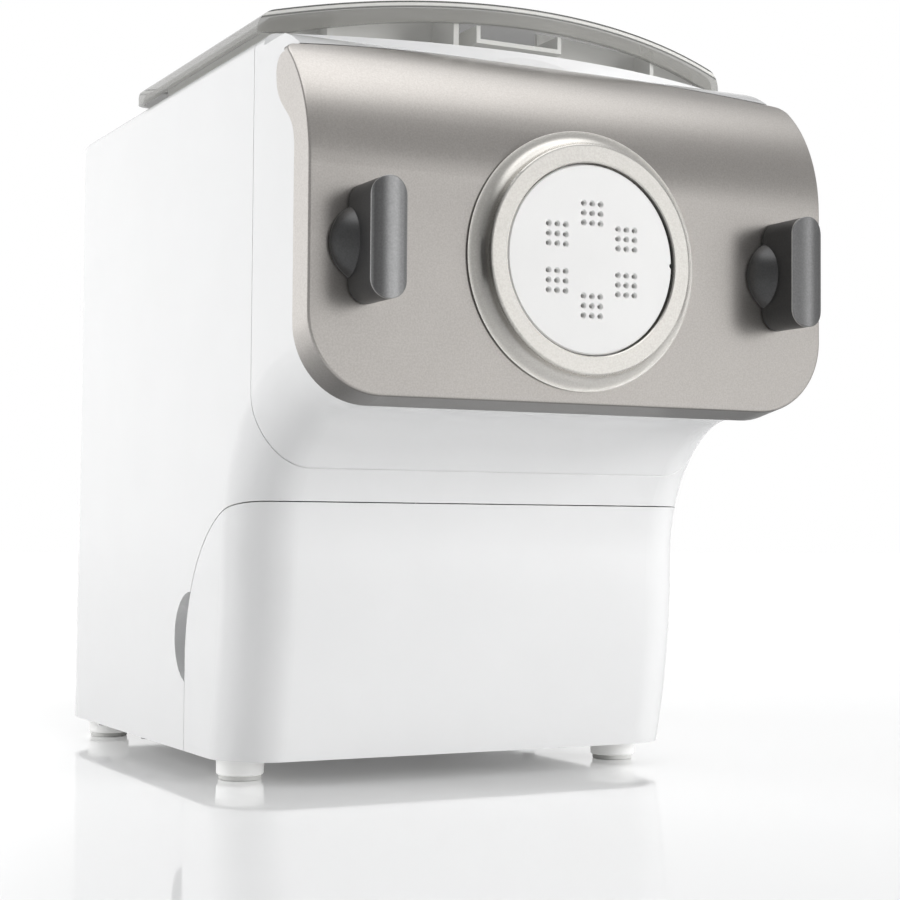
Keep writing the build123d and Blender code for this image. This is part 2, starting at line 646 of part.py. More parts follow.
def vault(inset, base):
    """The lid as a solid: bowed at the front, with rounded upright corners at the rear."""
    with BuildPart() as form:
        add(through_y(vault_outline(inset, base - LID_EDGE_R), -FAR, LID_REAR - inset))
        with BuildSketch(Plane.XY.offset(base)) as plan:
            with Locations((0, LID_REAR - inset)):
                Rectangle(LID_W - 2 * inset, LIP_R, align=(Align.CENTER, Align.MAX))
            fillet(plan.vertices().group_by(Axis.Y)[-1], LID_CORNER_R - inset)
            with Locations((0, LIP_Y + LIP_STEP + LIP_R)):
                Circle(LIP_R - LID_SETBACK - inset, mode=Mode.INTERSECT)
        extrude(plan.sketch, amount=FAR, mode=Mode.INTERSECT)
    return form.part


with BuildPart() as lid_shell:
    add(vault(0, LID_BASE))
    add(vault(LID_WALL, LID_BASE - 4), mode=Mode.SUBTRACT)
    # The front wall is only a band that follows the arch.
    band_end = LID_HALF - 5.0
    band_foot = LID_BASE - 1
    with BuildSketch(Plane.XZ.offset(-LINER_FRONT)) as under_band:
        with BuildLine():
            Line((-band_end, band_foot), (band_end, band_foot))
            ThreePointArc((band_end, band_foot), (0, LID_CROWN - LID_BAND), (-band_end, band_foot))
        make_face()
    extrude(under_band.sketch, amount=FAR, mode=Mode.SUBTRACT)
    for side in (-1, 1):
        slot_x = (side * HINGE_X - SLOT_HALF, side * HINGE_X + SLOT_HALF)
        bar(slot_x, (LID_REAR - 8, LID_REAR + 1), (LID_BASE - 1, HINGE_Z + EAR_R + 3 * CLEAR),
            mode=Mode.SUBTRACT)
        knuckle_x = sorted((side * KNUCKLE_X[0], side * KNUCKLE_X[1]))
        bore_x = sorted((side * HINGE_X, side * KNUCKLE_X[1]))
        rod_x(KNUCKLE_R, knuckle_x, HINGE_Y, HINGE_Z)
        rod_x(HINGE_PIN_R + RUNNING, bore_x, HINGE_Y, HINGE_Z, mode=Mode.SUBTRACT)
    add(vault(0, LID_BASE - 10), mode=Mode.INTERSECT)

with BuildPart() as lid_liner:
    for x in LINER_RIBS:
        bar((x - 1, x + 1), (LID_FRONT, LINER_FRONT + 0.5), (LID_BASE, LID_CROWN))
    add(vault(LID_WALL + RIB_GAP, LID_BASE - 4), mode=Mode.INTERSECT)
    with BuildSketch(Plane.XY.offset(LID_BASE)) as ring:
        with Locations((0, (LINER_FRONT + LINER_REAR) / 2)):
            RectangleRounded(2 * LINER_HALF, LINER_REAR - LINER_FRONT, LINER_CORNER_R)
        offset(amount=-LINER_T, mode=Mode.SUBTRACT)
    extrude(ring.sketch, amount=LID_CROWN - LID_BASE)
    bar((CHUTE_X[0] - RUNNING, CHUTE_X[1] + RUNNING), (LINER_FRONT - 1, LINER_FRONT + 4), (LID_BASE, LID_CROWN),
        mode=Mode.SUBTRACT)
    add(vault(LID_WALL + RUNNING, LID_BASE - 4), mode=Mode.INTERSECT)

# Water chute: the slot in the front of the lid, with a floor that slopes to the trough.
CHUTE_Y = (LID_FRONT + LID_WALL + 1.5, LINER_FRONT + 11.0)
CHUTE_H = 8.4
CHUTE_LIP = 6.4         # height of the chute's side walls at its front edge
with BuildPart() as water_chute:
    with BuildSketch(Plane.YZ.offset(CHUTE_X[0])) as profile:
        with BuildLine():
            Polyline(
                (CHUTE_Y[0], LID_BASE + CHUTE_H),
                (CHUTE_Y[0], LID_BASE + CHUTE_H - CHUTE_LIP),
                (CHUTE_Y[1] - CHUTE_LIP, LID_BASE),
                (CHUTE_Y[1], LID_BASE),
                (CHUTE_Y[1], LID_BASE + CHUTE_H),
                close=True,
            )
        make_face()
    extrude(profile.sketch, amount=CHUTE_X[1] - CHUTE_X[0])
    with BuildSketch(Plane.YZ.offset(CHUTE_X[0] + CHUTE_WALL)) as hollow:
        with BuildLine():
            Polyline(
                (CHUTE_Y[0] - 1, LID_BASE + CHUTE_H + 1),
                (CHUTE_Y[0] - 1, LID_BASE + CHUTE_H - CHUTE_LIP + CHUTE_WALL),
                (CHUTE_Y[0] + CHUTE_WALL / 2, LID_BASE + CHUTE_H - CHUTE_LIP + CHUTE_WALL),
                (CHUTE_Y[1] - CHUTE_LIP, LID_BASE + CHUTE_WALL),
                (CHUTE_Y[1] + 1, LID_BASE + CHUTE_WALL),
                (CHUTE_Y[1] + 1, LID_BASE + CHUTE_H + 1),
                close=True,
            )
        make_face()
    extrude(hollow.sketch, amount=CHUTE_X[1] - CHUTE_X[0] - 2 * CHUTE_WALL, mode=Mode.SUBTRACT)

with BuildPart() as lid_magnet:
    with BuildSketch(Plane.XY.offset(LID_BASE + 0.2)) as pill:
        with Locations((MAGNET_X, MAGNET_Y)):
            RectangleRounded(MAGNET_W, 14, 2)
    extrude(pill.sketch, amount=6)

# ------------------------------------------------------------------ main housing and covers
OPENING_HALF = CHAMBER_OUT_R + 1.5
OPENING_Y = (CHAMBER_FRONT + 2.5, CHAMBER_REAR + 2.5)
COVER_X = 64.0
COVER_Z = (28.0, 252.0)
COVER_LAP = 9.0
COVER_PROUD = 2.0
PANEL_Y_RANGE = (PANEL_Y - PANEL_L / 2, PANEL_Y + PANEL_L / 2)
PANEL_Z_RANGE = (PANEL_Z - PANEL_H / 2, PANEL_Z + PANEL_H / 2)
PANEL_LAP = 3.0
GRIP_Y = DRAWER_SIDE_Y - GRIP_R + GRIP_SAG
COVER_SCREWS = [(side * (COVER_X - COVER_LAP / 2), z)
                for side in (-1, 1) for z in (COVER_Z[0] + COVER_LAP / 2 + 4, COVER_Z[1] - COVER_LAP / 2 - 4)]
BOSS_DEPTH = 12.0
STAND_ON = (Align.CENTER, Align.CENTER, Align.MIN)
COVER_BOSS_R = 3.6
BASE_T = 3.0
BASE_TOP = BODY_BOTTOM + BASE_T
BASE_BOSS_R = 4.2
BASE_SCREW_X = HALF_W - WALL - BASE_BOSS_R + 0.4
BASE_SCREWS = [(x, y) for x in (-BASE_SCREW_X, BASE_SCREW_X) for y in (TRAY_REAR + 12.0, 110.0)]
INLET_X = (-50.0, -18.0)
INLET_Z = (42.0, 68.0)

with BuildPart() as main_housing:
    add(whole)
    add(shell_space, mode=Mode.SUBTRACT)
    add(through_x(head_region(0)), mode=Mode.SUBTRACT)
    bar((-OPENING_HALF, OPENING_HALF), OPENING_Y, (ROOF_Z - WALL - 1, ROOF_Z + 1), mode=Mode.SUBTRACT)
    bar((-COVER_X + COVER_LAP, COVER_X - COVER_LAP), (BODY_REAR - WALL - 1, BODY_REAR + 1),
        (COVER_Z[0] + COVER_LAP, COVER_Z[1] - COVER_LAP), mode=Mode.SUBTRACT)
    bar((HALF_W - WALL - 1, HALF_W + 1), (PANEL_Y_RANGE[0] + PANEL_LAP, PANEL_Y_RANGE[1] - PANEL_LAP),
        (PANEL_Z_RANGE[0] + PANEL_LAP, PANEL_Z_RANGE[1] - PANEL_LAP), mode=Mode.SUBTRACT)
    for side in (-1, 1):
        cup = sorted((side * (HALF_W - GRIP_DEPTH - WALL), side * (HALF_W - 1)))
        scoop = sorted((side * (HALF_W - GRIP_DEPTH), side * (HALF_W + 1)))
        rod_x(GRIP_R + WALL, cup, GRIP_Y, GRIP_Z)
        rod_x(GRIP_R, scoop, GRIP_Y, GRIP_Z, mode=Mode.SUBTRACT)
        ear = (side * HINGE_X - EAR_HALF_X, side * HINGE_X + EAR_HALF_X)
        bar(ear, (HINGE_Y - EAR_R, HINGE_Y + EAR_R), (ROOF_Z - 1, HINGE_Z))
        rod_x(EAR_R, ear, HINGE_Y, HINGE_Z)
        rod_x(HINGE_PIN_R, ear, HINGE_Y, HINGE_Z, mode=Mode.SUBTRACT)
    add(through_x(drawer_region(-SEAM_GAP)), mode=Mode.SUBTRACT)
    for x, z in COVER_SCREWS:
        rod_y(COVER_BOSS_R, (BODY_REAR - BOSS_DEPTH, BODY_REAR - 1), x, z)
        rod_y(SCREW_R_M3, (BODY_REAR - BOSS_DEPTH - 1, BODY_REAR + 1), x, z, mode=Mode.SUBTRACT)
    for x, y in BASE_SCREWS:
        with Locations((x, y, BASE_TOP)):
            Cylinder(BASE_BOSS_R, BOSS_DEPTH, align=STAND_ON)
            Cylinder(SCREW_R_M3, BOSS_DEPTH, align=STAND_ON, mode=Mode.SUBTRACT)

with BuildPart() as lid_hinge_pins:
    for side in (-1, 1):
        rod_x(HINGE_PIN_R, sorted((side * (HINGE_X - EAR_HALF_X), side * (KNUCKLE_X[1] - 1))), HINGE_Y, HINGE_Z)

with BuildPart() as rear_cover:
    bar((-COVER_X, COVER_X), (BODY_REAR, BODY_REAR + COVER_PROUD), COVER_Z)
    fillet(rear_cover.edges().filter_by(Axis.Y), 8)
    fillet(rear_cover.edges().filter_by(lambda e: abs((e @ 0.5).Y - BODY_REAR - COVER_PROUD) < 0.01), 1.2)
    plug_x = COVER_X - COVER_LAP - 0.3
    plug_z = (COVER_Z[0] + COVER_LAP + 0.3, COVER_Z[1] - COVER_LAP - 0.3)
    bar((-plug_x, plug_x), (BODY_REAR - WALL, BODY_REAR), plug_z)
    bar((-plug_x + 2, plug_x - 2), (BODY_REAR - WALL - 1, BODY_REAR - 0.2), (plug_z[0] + 2, plug_z[1] - 2),
        mode=Mode.SUBTRACT)
    with BuildSketch(Plane.XZ.offset(-BODY_REAR - COVER_PROUD - 1)) as vents:
        for x in (-31.0, 31.0):
            with Locations((x, 110.0)):
                with GridLocations(0, 8, 1, 9):
                    SlotOverall(48, 3.2)
        with Locations(((INLET_X[0] + INLET_X[1]) / 2, (INLET_Z[0] + INLET_Z[1]) / 2)):
            Rectangle(INLET_X[1] - INLET_X[0] + 0.2, INLET_Z[1] - INLET_Z[0] + 0.2)
    extrude(vents.sketch, amount=10, mode=Mode.SUBTRACT)
    for x, z in COVER_SCREWS:
        rod_y(3.0, (BODY_REAR + 0.4, BODY_REAR + COVER_PROUD + 1), x, z, mode=Mode.SUBTRACT)
        rod_y(SCREW_R_M3 + 0.2, (BODY_REAR - 1, BODY_REAR + 1), x, z, mode=Mode.SUBTRACT)

with BuildPart() as cover_screws:
    for x, z in COVER_SCREWS:
        rod_y(SCREW_R_M3 - RUNNING, (BODY_REAR - 8, BODY_REAR + 0.4), x, z)
        rod_y(2.8, (BODY_REAR + 0.4, BODY_REAR + COVER_PROUD - 0.2), x, z)

# ------------------------------------------------------------------ base and feet
BASE_HALF = HALF_W - WALL - 0.6
BASE_FRONT = -50.0
BASE_REAR = BODY_REAR - WALL - 0.3
FEET = [(x, y) for x in (-FOOT_X, FOOT_X) for y in (FOOT_FRONT_Y, FOOT_REAR_Y)]
RUNNER_X = FOOT_X - 12.8
CRADLE_Y = (84.0, 134.0)
CRADLE_T = 6.0

with BuildPart() as base_plate:
    with BuildSketch(Plane.XY.offset(BODY_BOTTOM)) as plate:
        with Locations((0, (BASE_FRONT + BASE_REAR) / 2)):
            Rectangle(2 * BASE_HALF, BASE_REAR - BASE_FRONT)
        fillet(plate.vertices().group_by(Axis.Y)[-1], REAR_CORNER_R - WALL)
        fillet(plate.vertices().group_by(Axis.Y)[0], FRONT_CORNER_R - 6)
    extrude(plate.sketch, amount=BASE_T)
    for side in (-1, 1):
        bar(sorted((side * RUNNER_X, side * (RUNNER_X + 5))), (BASE_FRONT + 2, TRAY_REAR + 4),
            (BASE_TOP - 0.5, TRAY_FLOOR - 0.3))
        bar(sorted((side * (TRAY_W / 2 + 0.4), side * (TRAY_W / 2 + 2.4))), (TRAY_REAR - 40, TRAY_REAR + 4),
            (BASE_TOP - 0.5, TRAY_FLOOR + 8))
    for y in CRADLE_Y:
        bar((-MOTOR_R + 4, MOTOR_R - 4), (y, y + CRADLE_T), (BASE_TOP - 0.5, MOTOR_Z - 18))
    rod_y(MOTOR_R + RUNNING, (CRADLE_Y[0] - 1, CRADLE_Y[1] + CRADLE_T + 1), 0, MOTOR_Z, mode=Mode.SUBTRACT)
    for x, y in FEET + BASE_SCREWS:
        with Locations((x, y, BASE_TOP)):
            Hole(SCREW_R_M3 + 0.2)
    with BuildSketch(Plane.XY.offset(BODY_BOTTOM - 1)) as slots:
        with Locations((0, 100.0)):
            with GridLocations(0, 7, 1, 7):
                SlotOverall(50, 3)
    extrude(slots.sketch, amount=BASE_T + 2, mode=Mode.SUBTRACT)

with BuildPart() as feet:
    for x, y in FEET:
        with BuildSketch(Plane.XY.offset(BODY_BOTTOM)) as cup:
            with Locations((x, y)):
                Circle(FOOT_R)
        extrude(cup.sketch, amount=FOOT_PAD_T - BODY_BOTTOM + 0.6, taper=2)
    fillet(feet.edges().filter_by(lambda e: (e @ 0.5).Z < FOOT_PAD_T + 1), 0.8)
    for x, y in FEET:
        with Locations((x, y, BODY_BOTTOM)):
            Hole(SCREW_R_M3 + 0.2)

with BuildPart() as foot_pads:
    for x, y in FEET:
        with BuildSketch() as pad:
            with Locations((x, y)):
                Circle(FOOT_PAD_R)
        extrude(pad.sketch, amount=FOOT_PAD_T + 0.6)
    fillet(foot_pads.edges().filter_by(lambda e: (e @ 0.5).Z < 0.1), 0.6)

with BuildPart() as foot_screws:
    for x, y in FEET:
        with BuildSketch(Plane.XY.offset(FOOT_PAD_T + 0.6)) as shank:
            with Locations((x, y)):
                Circle(SCREW_R_M3)
        extrude(shank.sketch, amount=BASE_TOP - FOOT_PAD_T - 0.6)
        with BuildSketch(Plane.XY.offset(BASE_TOP)) as nut:
            with Locations((x, y)):
                RegularPolygon(3.2, 6)
        extrude(nut.sketch, amount=1.4)

with BuildPart() as base_screws:
    for x, y in BASE_SCREWS:
        with Locations((x, y, BODY_BOTTOM)):
            Cylinder(SCREW_R_M3 - RUNNING, BASE_T + 9, align=STAND_ON)
            Cylinder(2.8, 1.8, align=(Align.CENTER, Align.CENTER, Align.MAX))

# ------------------------------------------------------------------ mixing chamber
def trough_outline(radius, top):
    """Front view of the trough: a half circle under upright walls."""
    with BuildSketch() as outline:
        with BuildLine():
            Polyline((-radius, AXIS_Z), (-radius, top), (radius, top), (radius, AXIS_Z))
            ThreePointArc((radius, AXIS_Z), (0, AXIS_Z - radius), (-radius, AXIS_Z))
        make_face()
    return outline.sketch


with BuildPart() as front_bulkhead:
    add(casing(WALL, FASCIA_FRONT, open_floor))
    bar((-FAR, FAR), (BULKHEAD_FRONT, BULKHEAD_REAR), (-FAR, FAR), mode=Mode.INTERSECT)
    bar((-FAR, FAR), (-FAR, FAR), (-FAR, DRAWER_TOP + 9), mode=Mode.SUBTRACT)
    through = (BULKHEAD_FRONT - 1, BULKHEAD_REAR + 1)
    add(through_y(trough_outline(CHAMBER_OUT_R + RUNNING, BRIDGE_Z), *through), mode=Mode.SUBTRACT)
    for side in (-1, 1):
        slot_x = (side * KNOB_X - BOLT_LUG_T / 2 - CLEAR, side * KNOB_X + BOLT_LUG_T / 2 + CLEAR)
        slot_z = (AXIS_Z - BOLT_LUG / 2 - CLEAR, AXIS_Z + BOLT_LUG / 2 + CLEAR)
        rod_y(BOLT_R + CLEAR, through, side * KNOB_X, mode=Mode.SUBTRACT)
        bar(slot_x, through, slot_z, mode=Mode.SUBTRACT)

CHAMBER_TOP = ROOF_Z - WALL
SEAL_BORE = SHAFT_R + 5.0
CHAMBER_BACK = CHAMBER_REAR - CHAMBER_WALL
with BuildPart() as mixing_chamber:
    add(through_y(trough_outline(CHAMBER_OUT_R, CHAMBER_TOP), BULKHEAD_FRONT, CHAMBER_REAR))
    brim_x = CHAMBER_OUT_R + CHAMBER_FLANGE
    brim_y = (BULKHEAD_REAR, CHAMBER_REAR + CHAMBER_FLANGE)
    bar((-brim_x, brim_x), brim_y, (CHAMBER_TOP - CHAMBER_WALL, CHAMBER_TOP))
    add(through_y(trough_outline(CHAMBER_R, CHAMBER_TOP + 1), BULKHEAD_FRONT - 1, CHAMBER_BACK), mode=Mode.SUBTRACT)
    bar((-FAR, FAR), (BULKHEAD_FRONT - 1, BULKHEAD_REAR), (BRIDGE_Z - RUNNING, FAR), mode=Mode.SUBTRACT)
    rod_y(SEAL_BORE, (CHAMBER_BACK - 1, CHAMBER_REAR + 1), mode=Mode.SUBTRACT)

with BuildPart() as shaft_seal:
    turn_y([(SHAFT_R + RUNNING, CHAMBER_BACK - 1), (SEAL_BORE + 2, CHAMBER_BACK - 1), (SEAL_BORE + 2, CHAMBER_BACK),
            (SEAL_BORE, CHAMBER_BACK), (SEAL_BORE, CHAMBER_REAR), (SHAFT_R + RUNNING, CHAMBER_REAR)])

# Rubber frame between the door and the trough's front edge.
with BuildPart() as chamber_seal:
    add(through_y(trough_outline(CHAMBER_OUT_R, BRIDGE_Z + 4), DOOR_REAR, BULKHEAD_FRONT))
    add(through_y(trough_outline(CHAMBER_R - 2, BRIDGE_Z), DOOR_REAR - 1, BULKHEAD_FRONT + 1), mode=Mode.SUBTRACT)

# ------------------------------------------------------------------ gears and shafts
def gear_outline(teeth, module, phase):
    """Front view of a spur gear at the origin. phase is the direction of the centre of one tooth."""
    pitch_r = teeth * module / 2
    step = 2 * pi / teeth
    radii = (pitch_r - 1.2 * module, pitch_r, pitch_r + 0.85 * module)
    halves = (0.32 * step, 0.225 * step, 0.115 * step)
    points = []
    for tooth in range(teeth):
        centre = radians(phase) + tooth * step
        for radius, half in zip(radii, halves):
            points.append((radius * cos(centre - half), radius * sin(centre - half)))
        for radius, half in zip(reversed(radii), reversed(halves)):
            points.append((radius * cos(centre + half), radius * sin(centre + half)))
    with BuildSketch() as outline:
        with BuildLine():
            Polyline(*points, close=True)
        make_face()
    return outline.sketch


def spur_gear(teeth, module, z, phase, y):
    """Add a spur gear about the shaft at height z."""
    with BuildSketch(Plane.XZ.offset(-y[1])) as section:
        with Locations((0, z)):
            add(gear_outline(teeth, module, phase))
    extrude(section.sketch, amount=y[1] - y[0])


OUT_Y = (GEAR_FRONT, GEAR_FRONT + GEAR_T)
IDLER_Y = (OUT_Y[1] + 0.5, OUT_Y[1] + 0.5 + GEAR_T)
IDLER_SHAFT_R = 4.0
with BuildPart() as output_gear:
    spur_gear(OUT_TEETH, OUT_MODULE, AXIS_Z, -90, OUT_Y)
    with BuildSketch(Plane.XZ.offset(-OUT_Y[1] - 1)) as web:
        with Locations((0, AXIS_Z)):
            with PolarLocations(28, 6):
                Circle(7)
    extrude(web.sketch, amount=GEAR_T + 2, mode=Mode.SUBTRACT)
    rod_y(SHAFT_R + RUNNING, (OUT_Y[0] - 1, OUT_Y[1] + 1), mode=Mode.SUBTRACT)

with BuildPart() as drive_shaft:
    rod_y(SHAFT_R, (CHAMBER_REAR - 98, GEARBOX_REAR - 0.5))
    rod_y(SHAFT_NOSE_R, (CHAMBER_REAR - 115, CHAMBER_REAR - 98))

with BuildPart() as idler_gear:
    spur_gear(IDLER_TEETH, MOTOR_MODULE, IDLER_Z, -90, IDLER_Y)
    spur_gear(IDLER_PINION_TEETH, OUT_MODULE, IDLER_Z, 90 + 180 / IDLER_PINION_TEETH, (OUT_Y[0], IDLER_Y[0] + 0.5))
    rod_y(IDLER_SHAFT_R + RUNNING, (OUT_Y[0] - 1, IDLER_Y[1] + 1), 0, IDLER_Z, mode=Mode.SUBTRACT)

with BuildPart() as idler_shaft:
    rod_y(IDLER_SHAFT_R, (CHAMBER_REAR + 2, GEARBOX_REAR), 0, IDLER_Z)

with BuildPart() as motor_pinion:
    spur_gear(MOTOR_TEETH, MOTOR_MODULE, MOTOR_Z, 90 + 180 / MOTOR_TEETH, (IDLER_Y[0] - 0.5, IDLER_Y[1]))
    rod_y(MOTOR_SHAFT_R + RUNNING, (OUT_Y[0] - 1, IDLER_Y[1] + 1), 0, MOTOR_Z, mode=Mode.SUBTRACT)

# ------------------------------------------------------------------ gearbox
OUT_OUTER = OUT_MODULE * (OUT_TEETH / 2 + 1)
IDLER_OUTER = MOTOR_MODULE * (IDLER_TEETH / 2 + 1)
CASE_GAP = 2.5
PLATE_Y = (CHAMBER_REAR, GEAR_FRONT - 1.5)


def gearbox_outline(grow):
    """Front view of the gearbox: circles about the three shafts, joined by straight sides."""
    with BuildSketch() as outline:
        with Locations((0, AXIS_Z)):
            Circle(OUT_OUTER + CASE_GAP + grow)
        with Locations((0, IDLER_Z)):
            Circle(IDLER_OUTER + CASE_GAP + grow)
        with Locations((0, MOTOR_Z)):
            Circle(MOTOR_TEETH * MOTOR_MODULE / 2 + 8 + grow)
        make_hull()
    return outline.sketch


BEARING_R = SHAFT_R + 4.0
COVER_Y = (GEARBOX_REAR - 3.0, GEARBOX_REAR)
with BuildPart() as gearbox_housing:
    add(through_y(gearbox_outline(GEARBOX_WALL), PLATE_Y[0], COVER_Y[0]))
    add(through_y(gearbox_outline(0), PLATE_Y[1], COVER_Y[0] + 1), mode=Mode.SUBTRACT)
    rod_y(BEARING_R, (PLATE_Y[0] - 1, PLATE_Y[1] + 1), mode=Mode.SUBTRACT)
    rod_y(IDLER_SHAFT_R, (PLATE_Y[0] - 1, PLATE_Y[1] + 1), 0, IDLER_Z, mode=Mode.SUBTRACT)

with BuildPart() as gearbox_cover:
    add(through_y(gearbox_outline(GEARBOX_WALL), *COVER_Y))
    rod_y(BEARING_R, (COVER_Y[0] - 1, COVER_Y[1] + 1), mode=Mode.SUBTRACT)
    rod_y(IDLER_SHAFT_R, (COVER_Y[0] - 1, COVER_Y[1] + 1), 0, IDLER_Z, mode=Mode.SUBTRACT)
    rod_y(MOTOR_SHAFT_R + 3, (COVER_Y[0] - 1, COVER_Y[1] + 1), 0, MOTOR_Z, mode=Mode.SUBTRACT)

with BuildPart() as shaft_bearings:
    for y in (PLATE_Y, COVER_Y):
        rod_y(BEARING_R, y)
        rod_y(SHAFT_R + RUNNING, (y[0] - 1, y[1] + 1), mode=Mode.SUBTRACT)

# ------------------------------------------------------------------ motor
MOTOR_Y = (GEARBOX_REAR, GEARBOX_REAR + MOTOR_LENGTH)
ROTOR_R = 20.0
with BuildPart() as motor_casing:
    turn_y([(MOTOR_SHAFT_R + 3, MOTOR_Y[0]), (MOTOR_R - 3, MOTOR_Y[0]), (MOTOR_R, MOTOR_Y[0] + 3),
            (MOTOR_R, MOTOR_Y[1] - 3), (MOTOR_R - 3, MOTOR_Y[1]), (MOTOR_SHAFT_R + 3, MOTOR_Y[1]),
            (MOTOR_SHAFT_R + 3, MOTOR_Y[1] - 2), (MOTOR_R - 4, MOTOR_Y[1] - 2), (MOTOR_R - 2, MOTOR_Y[1] - 4),
            (MOTOR_R - 2, MOTOR_Y[0] + 4), (MOTOR_R - 4, MOTOR_Y[0] + 2), (MOTOR_SHAFT_R + 3, MOTOR_Y[0] + 2)],
           z=MOTOR_Z)
    with BuildSketch(Plane.XZ.offset(-MOTOR_Y[1] - 1)) as vents:
        with Locations((0, MOTOR_Z)):
            with PolarLocations(20, 8):
                SlotOverall(14, 4)
    extrude(vents.sketch, amount=4, mode=Mode.SUBTRACT)

with BuildPart() as motor_bearings:
    for y in ((MOTOR_Y[0], MOTOR_Y[0] + 4), (MOTOR_Y[1] - 4, MOTOR_Y[1])):
        turn_y([(MOTOR_SHAFT_R + RUNNING, y[0]), (MOTOR_SHAFT_R + 3, y[0]), (MOTOR_SHAFT_R + 3, y[1]),
                (MOTOR_SHAFT_R + RUNNING, y[1])], z=MOTOR_Z)

STATOR_Y = (MOTOR_Y[0] + 14, MOTOR_Y[1] - 14)
with BuildPart() as motor_stator:
    turn_y([(ROTOR_R + 0.6, STATOR_Y[0]), (MOTOR_R - 2, STATOR_Y[0]), (MOTOR_R - 2, STATOR_Y[1]),
            (ROTOR_R + 0.6, STATOR_Y[1])], z=MOTOR_Z)

with BuildPart() as motor_rotor:
    turn_y([(MOTOR_SHAFT_R + RUNNING, STATOR_Y[0]), (ROTOR_R, STATOR_Y[0]), (ROTOR_R, STATOR_Y[1]),
            (10, STATOR_Y[1]), (10, MOTOR_Y[1] - 6), (MOTOR_SHAFT_R + RUNNING, MOTOR_Y[1] - 6)], z=MOTOR_Z)

FAN_Y = (MOTOR_Y[1] + 2.0, MOTOR_Y[1] + 10.0)
with BuildPart() as motor_shaft:
    rod_y(MOTOR_SHAFT_R, (IDLER_Y[0], FAN_Y[1] + 1), 0, MOTOR_Z)

with BuildPart() as cooling_fan:
    turn_y([(MOTOR_SHAFT_R + RUNNING, FAN_Y[0]), (9, FAN_Y[0]), (9, FAN_Y[1]), (MOTOR_SHAFT_R + RUNNING, FAN_Y[1])],
           z=MOTOR_Z)
    for blade in range(7):
        turn = blade * 360 / 7
        hub = Location((0, (FAN_Y[0] + FAN_Y[1]) / 2, MOTOR_Z), (0, turn, 0))
        with Locations(hub * Location((FAN_R / 2 + 3.5, 0, 0), (35, 0, 0))):
            Box(FAN_R - 8, 1.2, 11)
    turn_y([(FAN_R + 8, FAN_Y[0]), (FAN_R + 8, FAN_Y[1]), (FAN_R, FAN_Y[1]), (FAN_R, FAN_Y[0])], z=MOTOR_Z,
           mode=Mode.SUBTRACT)
    bar((-FAR, FAR), (FAN_Y[1], FAR), (0, FAR), mode=Mode.SUBTRACT)
    bar((-FAR, FAR), (0, FAN_Y[0]), (0, FAR), mode=Mode.SUBTRACT)

# ------------------------------------------------------------------ drawer
TRAY_FRONT = NECK_Y + 16.0
TRAY_HALF = TRAY_W / 2
INNER_WALL_T = 2.0
SPARE_X = -TRAY_HALF / 2
SPARE_PITCH = 15.0
SPARE_Y = TRAY_FRONT + 14.0
SPARE_Z = TRAY_FLOOR + TRAY_WALL + DISC_FLANGE_R + 0.2

with BuildPart() as drawer_front:
    add(whole)
    add(shell_space, mode=Mode.SUBTRACT)
    bar((-BASE_HALF, BASE_HALF), (TRAY_FRONT - INNER_WALL_T, TRAY_FRONT), (TRAY_FLOOR, TRAY_TOP))
    for x in (-BASE_HALF + 12, -30.0, 30.0, BASE_HALF - 12):
        bar((x - 1, x + 1), (NECK_Y - 20, TRAY_FRONT - 1), (TRAY_FLOOR, TRAY_TOP))
    add(whole, mode=Mode.INTERSECT)
    add(through_x(drawer_region(0)), mode=Mode.INTERSECT)

with BuildPart() as drawer_tray:
    bar((-TRAY_HALF, TRAY_HALF), (TRAY_FRONT, TRAY_REAR), (TRAY_FLOOR, TRAY_TOP))
    bar((-TRAY_HALF + TRAY_WALL, TRAY_HALF - TRAY_WALL), (TRAY_FRONT + TRAY_WALL, TRAY_REAR - TRAY_WALL),
        (TRAY_FLOOR + TRAY_WALL, TRAY_TOP + 1), mode=Mode.SUBTRACT)
    bar((-1, 1), (TRAY_FRONT + 1, TRAY_REAR - 1), (TRAY_FLOOR + 1, TRAY_TOP - 40))
    for i in range(4):
        y = SPARE_Y + (i - 0.5) * SPARE_PITCH
        bar((-TRAY_HALF + 1, 0), (y - 0.8, y + 0.8), (TRAY_FLOOR + 1, TRAY_FLOOR + 22))
    fillet(drawer_tray.edges().filter_by(Axis.Z).filter_by(lambda e: abs((e @ 0.5).X) > TRAY_HALF - 0.1), 1.5)

# Spare discs: wide slots, round holes and one sheet slot.
with BuildPart() as spare_discs:
    for i in range(3):
        rear = SPARE_Y + i * SPARE_PITCH + DISC_T / 2
        rod_y(DISC_FLANGE_R, (rear - DISC_T + DISC_BOSS, rear), SPARE_X, SPARE_Z)
        rod_y(DISC_R, (rear - DISC_T, rear - 1), SPARE_X, SPARE_Z)
        with BuildSketch(Plane.XZ.offset(-rear - 1)) as pattern:
            with Locations((SPARE_X, SPARE_Z)):
                if i == 0:
                    with PolarLocations(15, 6):
                        SlotOverall(14, 2.2)
                elif i == 1:
                    with PolarLocations(18, 8):
                        Circle(3)
                else:
                    with GridLocations(0, 12, 1, 2):
                        SlotOverall(44, 1.6)
        extrude(pattern.sketch, amount=DISC_T + 2, mode=Mode.SUBTRACT)

# ------------------------------------------------------------------ control panel and boards
PANEL_OUT = HALF_W + PANEL_PROUD
BUTTON_X = (PANEL_OUT - 9.0, PANEL_OUT + 1.4)
BUTTON_Z = PANEL_Z - 12.0
BUTTONS = [PANEL_Y + i * BUTTON_PITCH - 20.0 for i in range(3)]
WINDOW_Y = (PANEL_Y - 34.0, PANEL_Y + 26.0)
WINDOW_Z = (PANEL_Z + 1.0, PANEL_Z + 19.0)
WINDOW_T = 1.5
BOARD_X = (PANEL_OUT - 13.5, PANEL_OUT - 11.9)

